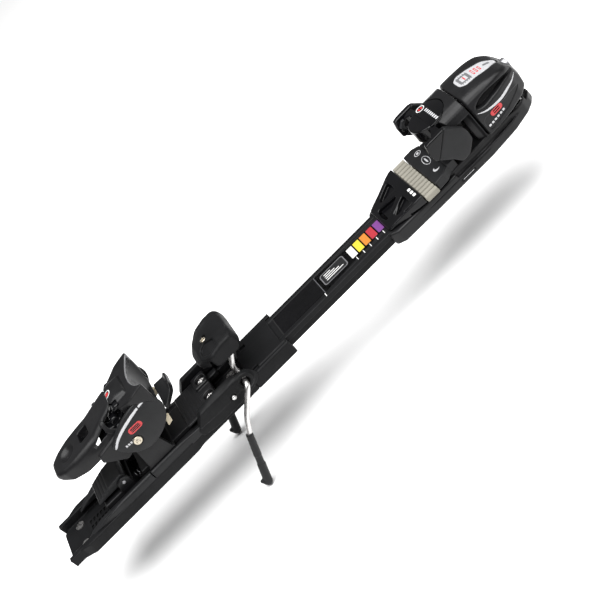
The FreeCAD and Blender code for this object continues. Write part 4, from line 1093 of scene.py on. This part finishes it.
def toe_housing_pieces():
    """The collar, the toe housing with its window, and the release screw."""
    side = rounded((184.9, 17.1, 0.5), (193.1, 17.1, 0.2), (193.1, 59.7, 0.2), (184.9, 59.7, 1.2))
    low_plan = mirrored((192.8, -28.9, 0.4), (190, -25, 3), (184.9, -22, 1.5))
    high_plan = mirrored((192.8, -32.4, 0.2), (174.4, -32.4, 1), (168.6, -19, 0.5))
    across = mirrored((-32, 17, 1), (-31, 39, 10), (-28.4, 47, 6), (-25.4, 55.6, 12), (-14, 60, 20),
                      across="u")
    lower = meet(spanned(side, 32, 0.2), plate("z", low_plan, 17, 48, 0.4))
    upper = meet(plate("z", high_plan, 46.7, 59.4, 0.4),
                 opposite(rod("z", (POST[0], POST[1]), 20.3, 40, 70, 0.2)))
    collar = meet(join(lower, upper), plate("x", across, 160, 200, 0.2), k=0.8)
    room = rod("x", TOE_BORE, 8.1, 170, 210, 0.2)
    piece("collar", carve(collar, room, k=0.4), BLACK, ["toe_collar"], FINE * 1.2,
          reach=([168, -32.6, 17], [193.2, 32.6, 60]))

    side = rounded((193.3, 17.1, 0.6), (238, 17.1, 4), (247.3, 19.6, 5), (250.3, 30, 8), (248, 41, 9),
                   (241.6, 49, 9), (234, 53.1, 20), (218, 57.1, 30), (205, 59.3, 30), (193.3, 59.9, 1.0))
    plan = mirrored((250.2, -8, 5), (247, -15.6, 6), (238, -22.7, 12), (222, -29.2, 20), (205, -32.3, 30),
                    (193.3, -32.8, 0.6))
    half = 33
    across = mirrored((-half, 17, 1), (-half, 38, 12), (-26, 56, 14), (-14, 60, 20), across="u")
    shell = meet(spanned(side, half, 0.8), plate("z", plan, 10, 70, 0.6),
                 plate("x", across, 190, 255, 0.4), k=4.0)
    face = meet(shell, slab((193.3, 0), (255, 80), 34, 0.3))
    barrel = rod("x", TOE_BORE, 11, 180, 238, 0.2)
    nose = rod("x", TOE_BORE, 7.2, 230, 260, 0.3)
    almond = flow((199.5, 45.2), (203.5, 48.4), (211, 50), (223, 49.4), (235, 46.6), (243.5, 42.6),
                  (232, 43.4), (218, 43.2), (206, 42.6))
    scoop = both(meet(plate("y", almond, 14, 40, 0.8), opposite(ball((205, 0, 34), (60, 24.5, 30)))))
    body = carve(face, scoop, k=2.2)
    body = carve(body, barrel, nose, k=0.5)
    view = meet(plate("z", mirrored((202.6, -6, 5), (208, -11.4, 6), (232, -9.4, 10), (242.6, -3, 3)), 30, 80,
                      0.1), opposite(grow(shell, -0.9)))
    shallow = meet(both(plate("y", flow((198, 33), (212, 33.6), (230, 32), (240, 29), (230, 26), (212, 23.4),
                                        (198, 22)), 20, 40, 1.5)), opposite(grow(shell, -0.5)))
    piece("toe_shell", carve(body, view, shallow, k=0.4), BLACK, ["toe_housing"], FINE * 1.3)

    pill = plate("z", mirrored((203.4, -6, 5), (208.4, -10.7, 6), (232, -8.7, 10), (241.4, -2.6, 2.6)), 30,
                 80, 0.1)
    lens = meet(shell, opposite(grow(shell, -1.1)), pill, k=0.4)
    piece("window", lens, WINDOW, ["scale_window"], PRINT * 1.3, reach=([202.8, -11, 46], [242, 11, 60.3]))
    border = carve(stamp("z", oblong(206, 217.5, -6.4, 6.4, 1.0)),
                   stamp("z", oblong(208.6, 214.9, -3.8, 3.8, 0.4)))
    pointer = stamp("z", oblong(211.4, 212.6, -3.1, 3.1, 0.2))
    ticks = join(*[stamp("z", oblong(207.4 + 2.2 * i, 208.1 + 2.2 * i, y, y + 2.2, 0.2)) for i in range(5)
                   for y in (-8.2, 6.0)])
    reds = join(*[stamp("z", oblong(220 + 3.2 * i, 221.9 + 3.2 * i, -5.2 + 0.6 * i, 5.2 - 0.6 * i, 0.7))
                  for i in range(3)])
    cores = join(*[stamp("z", oblong(220.6 + 3.2 * i, 221.3 + 3.2 * i, -3.4 + 0.6 * i, 3.4 - 0.6 * i, 0.3))
                   for i in range(3)])
    tip = stamp("z", oblong(231, 237, -1.8, 1.8, 1.2))
    printed(shell, "scale_window", ([202.8, -11, 46], [242, 11, 60.4]), ("window_frame", border, GREY_INK_AND_HIGHLIGHT),
            ("window_pointer", pointer, RED), ("window_ticks", ticks, GREY_INK_AND_HIGHLIGHT),
            ("window_red", carve(reds, cores), RED), ("window_tip", tip, GREY_INK_AND_HIGHLIGHT))

    crescent = stamp("y", flow((196, 42.6), (203, 39.6), (214, 37.6), (226, 37.2), (238, 37.4), (245, 38),
                               (238, 35.9), (226, 34.7), (214, 35.3), (203, 38.2)))
    capsule = stamp("y", oblong(205, 218, 29.6, 34.8, 2.5))
    slots = join(*[stamp("y", oblong(208, 215, z, z + 1.2, 0.6)) for z in (30.6, 32.6)])
    dashes = join(*[stamp("y", oblong(198 + 3.4 * i, 200.4 + 3.4 * i, 24.6 + 0.3 * i, 26.4 + 0.3 * i, 0.3))
                    for i in range(6)])
    printed_pair(body, "toe_housing", "toe_housing", ([194, -33, 18], [250, -12, 44]),
                 ("crescent", crescent, SILVER), ("capsule", carve(capsule, slots), RED),
                 ("strokes", dashes, SILVER))
    head = carve(rod("x", TOE_BORE, 7.0, 238.4, 248.9, 0.7), slab((246.8, 37.1), (252, 38.9), 5, 0.1),
                 slab((246.8, 33), (252, 43), 0.9, 0.1), k=0.3)
    piece("toe_screw", head, DULL, ["toe_release_screw"], FINE)


# ---------------------------------------------------------------- toe jaw

def jaw_pieces():
    """The jaw's yoke, hub cap, wings and grips."""
    x0 = POST[0]
    hub = rod("z", (x0, 0), 17, 27, 58.4, 1.0)
    upper_plan = mirrored((x0, -30.3, 1), (146.4, -30.3, 1), (146.4, -28.4, 1), (155, -27, 5),
                          (159.4, -21, 5), (160.6, 0, 20))
    ridge = under([(140, 44), (147, 50), (152, 54.6), (156, 57.4), (160, 58.4), (190, 58.4)], 1.2, 30)
    disc = meet(rod("z", (x0, 0), 19.9, 47.4, 58.4, 0.8), past("x", 160.4))
    upper = meet(join(plate("z", upper_plan, 45, 58.4, 1.0), disc, k=0.4), ridge, k=1.4)
    lower_plan = mirrored((x0 + 9, -30.1, 2), (x0 - 2, -30.1, 4), (159.4, -20, 5), (159, -8, 6))
    lower = plate("z", lower_plan, 27, 47, 1.6)
    toe_room = slab((130, 20), (158.5, 44.9), 25, 1.0)
    foot = rod("z", (x0, 0), 7.1, 21.6, 30, 0.5)
    bore = rod("z", (x0, 0), 6.1, 10, 56, 0.2)
    lip = both(join(bar((161.6, 8, 46.4), (159.4, 21, 46.2), 1.3),
                    bar((159.4, 21, 46.2), (152, 26, 46.2), 1.3)))
    body = join(upper, lower, hub, foot, k=1.5)
    body = carve(join(body, lip, k=1.5), toe_room, bore, k=1.0)
    piece("yoke", body, GLOSS, ["jaw_yoke"], FINE * 1.2)

    cap_plan = mirrored((x0 + 20, -19, 2), (x0 - 1, -24, 3), (162.2, -17, 5), (163, 0, 12))
    cap = meet(rod("z", (x0, 0), 19.6, 57.7, 59.9, 0.5), ball((x0, 0, -20), (120, 120, 79.9)),
               plate("z", cap_plan, 50, 70, 0.3), k=0.5)
    piece("cap", cap, GLOSS, ["hub_cap"], FINE, reach=([160, -20, 57.4], [x0 + 20, 20, 60]))
    spot = (x0 + 3.4, 13.4)
    zone = ([x0 - 4, -19.4, 57.4], [x0 + 12, 18.8, 60.4])
    ring = carve(dot("z", spot, 4.4), dot("z", spot, 3.4))
    core = dot("z", spot, 2.4)
    slash = stamp("z", oblong(spot[0] - 0.5, spot[0] + 0.5, spot[1] - 4, spot[1] + 4, 0.3))
    bars = join(*[stamp("z", oblong(x0 + 4.2, x0 + 7.4, 4.6 - 3.1 * i, 6.6 - 3.1 * i, 0.5))
                  for i in range(8)])
    printed(cap, "hub_cap", zone, ("cap_ring", ring, WHITE), ("cap_core", carve(core, slash), RED),
            ("cap_bars", bars, SILVER))

    side = rounded((147, 39.4, 1.5), (144.4, 41, 1.5), (144.4, 50, 3), (146.2, 57.6, 2), (150, 58.5, 3),
                   (168, 58.7, 5), (179.8, 46.6, 4), (181.4, 40, 3), (180.5, 30.7, 4), (171, 21.9, 4),
                   (162, 21.9, 3), (157, 30, 3))
    wing = meet(plate("y", side, 30.2, 37, 1.6), ball((160, 0, 42), (60, 37.3, 70)), k=1.5)
    front_side = [(130, 30), (130, 70), (172, 70), (168.4, 60), (147.2, 39.6), (143, 33)]
    front_part = plate("y", front_side, 20, 50, 0.1)
    blade = meet(wing, front_part, k=0.6)
    panel = carve(wing, grow(front_part, 0.35), k=0.6)
    for name, part, material, replace in (("blade", blade, GLOSS, True), ("wing", panel, DARK, False)):
        pair((name + "_far", "jaw_wing_left"), (name + "_near", "jaw_wing_right"), part, material, FINE,
             replace)
    grip = both(plate("y", rounded((151.7, 55.4, 1), (146.6, 51, 1), (152, 43.4, 1), (160, 36.4, 1),
                                   (162.6, 44.8, 1), (155.6, 54.6, 1)), 27.6, 30.6, 0.6))
    piece("grips", grip, GREY, ["jaw_pads"], FINE, reach=([146, -31, 36], [163, 31, 56]))


# ---------------------------------------------------------------- finishes for the CAD nodes that stay

def refinish(material, *nodes):
    """Gives a finish to CAD nodes that stay in view."""
    for node in nodes:
        thing = bpy.data.objects[node]
        thing.data.materials.clear()
        thing.data.materials.append(material)


rail_pieces()
base_pieces()
carriage_pieces()
housing_pieces()
lever_pieces()
brake_pieces()
toe_base_pieces()
toe_housing_pieces()
jaw_pieces()
refinish(COAL, "toothed_rack")
refinish(ZINC, "latch_clip", "heel_axle", "front_ski_screws", "rear_ski_screws")
refinish(DULL, "pressure_spring", "heel_spring", "toe_spring", "heel_piston", "toe_piston", "heel_cam",
         "heel_release_screw")
refinish(GREY_INK_AND_HIGHLIGHT, "toe_indicator")


# ---------------------------------------------------------------- floor, light and camera

def floor():
    """A plain pale studio floor, just under the object."""
    half, gap = 4.0, 0.0005
    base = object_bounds()[0][2]
    mesh = bpy.data.meshes.new("studio_floor")
    mesh.from_pydata([(-half, -half, 0), (half, -half, 0), (half, half, 0), (-half, half, 0)], [],
                     [(0, 1, 2, 3)])
    thing = bpy.data.objects.new("studio_floor", mesh)
    thing.location = (0, 0, base - gap)
    material, tree, shader = graph("paper_floor")
    tone = spread(tree, noise(tree, 3), 0.3, 0.7, 0, 1)
    tree.links.new(blended(tree, tone, (0.83, 0.83, 0.83), (0.86, 0.86, 0.86)), shader.inputs["Base Color"])
    shader.inputs["Roughness"].default_value = 0.9
    shader.inputs["Specular IOR Level"].default_value = 0.1
    mesh.materials.append(material)
    bpy.context.scene.collection.objects.link(thing)


def soft_light(name, place, target, width, tall, power):
    """A rectangular lamp turned to a target."""
    lamp = bpy.data.lights.new(name, "AREA")
    lamp.shape = "RECTANGLE"
    lamp.size = width
    lamp.size_y = tall
    lamp.energy = power
    thing = bpy.data.objects.new(name, lamp)
    thing.location = place
    thing.rotation_euler = (Vector(place) - Vector(target)).to_track_quat("Z", "Y").to_euler()
    bpy.context.scene.collection.objects.link(thing)


def camera():
    """The photo's view: from the skier's right and above, rolled so that the ski runs up to the right."""
    elevation, azimuth, away = math.radians(32.0), math.radians(4.06), 1.2
    turn = math.radians(-47.154)
    target = Vector((-0.0198, -0.001, 0.0177))
    back = Vector((math.sin(azimuth) * math.cos(elevation), -math.cos(azimuth) * math.cos(elevation),
                   math.sin(elevation)))
    right = Vector((math.cos(azimuth), math.sin(azimuth), 0))
    up = back.cross(right)
    side = right * math.cos(turn) + up * math.sin(turn)
    top = up * math.cos(turn) - right * math.sin(turn)
    data = bpy.data.cameras.new("camera")
    data.lens = 82.76
    data.sensor_width = 36
    thing = bpy.data.objects.new("camera", data)
    facing = Matrix((side, top, back)).transposed().to_4x4()
    thing.matrix_world = Matrix.Translation(target + back * away) @ facing
    bpy.context.scene.collection.objects.link(thing)
    bpy.context.scene.camera = thing


floor()
camera()
soft_light("overhead", (0.1, -0.45, 1.9), (0, 0, 0), 2.8, 2.2, 135)
soft_light("toe_side", (1.5, -0.5, 1.0), (0.1, 0, 0), 0.3, 0.8, 6)
world = bpy.data.worlds.new("studio")
bpy.context.scene.world = world
world.use_nodes = True
world.node_tree.nodes["Background"].inputs["Color"].default_value = (1, 1, 1, 1)
world.node_tree.nodes["Background"].inputs["Strength"].default_value = 0.22
bpy.context.scene.view_settings.view_transform = "Standard"
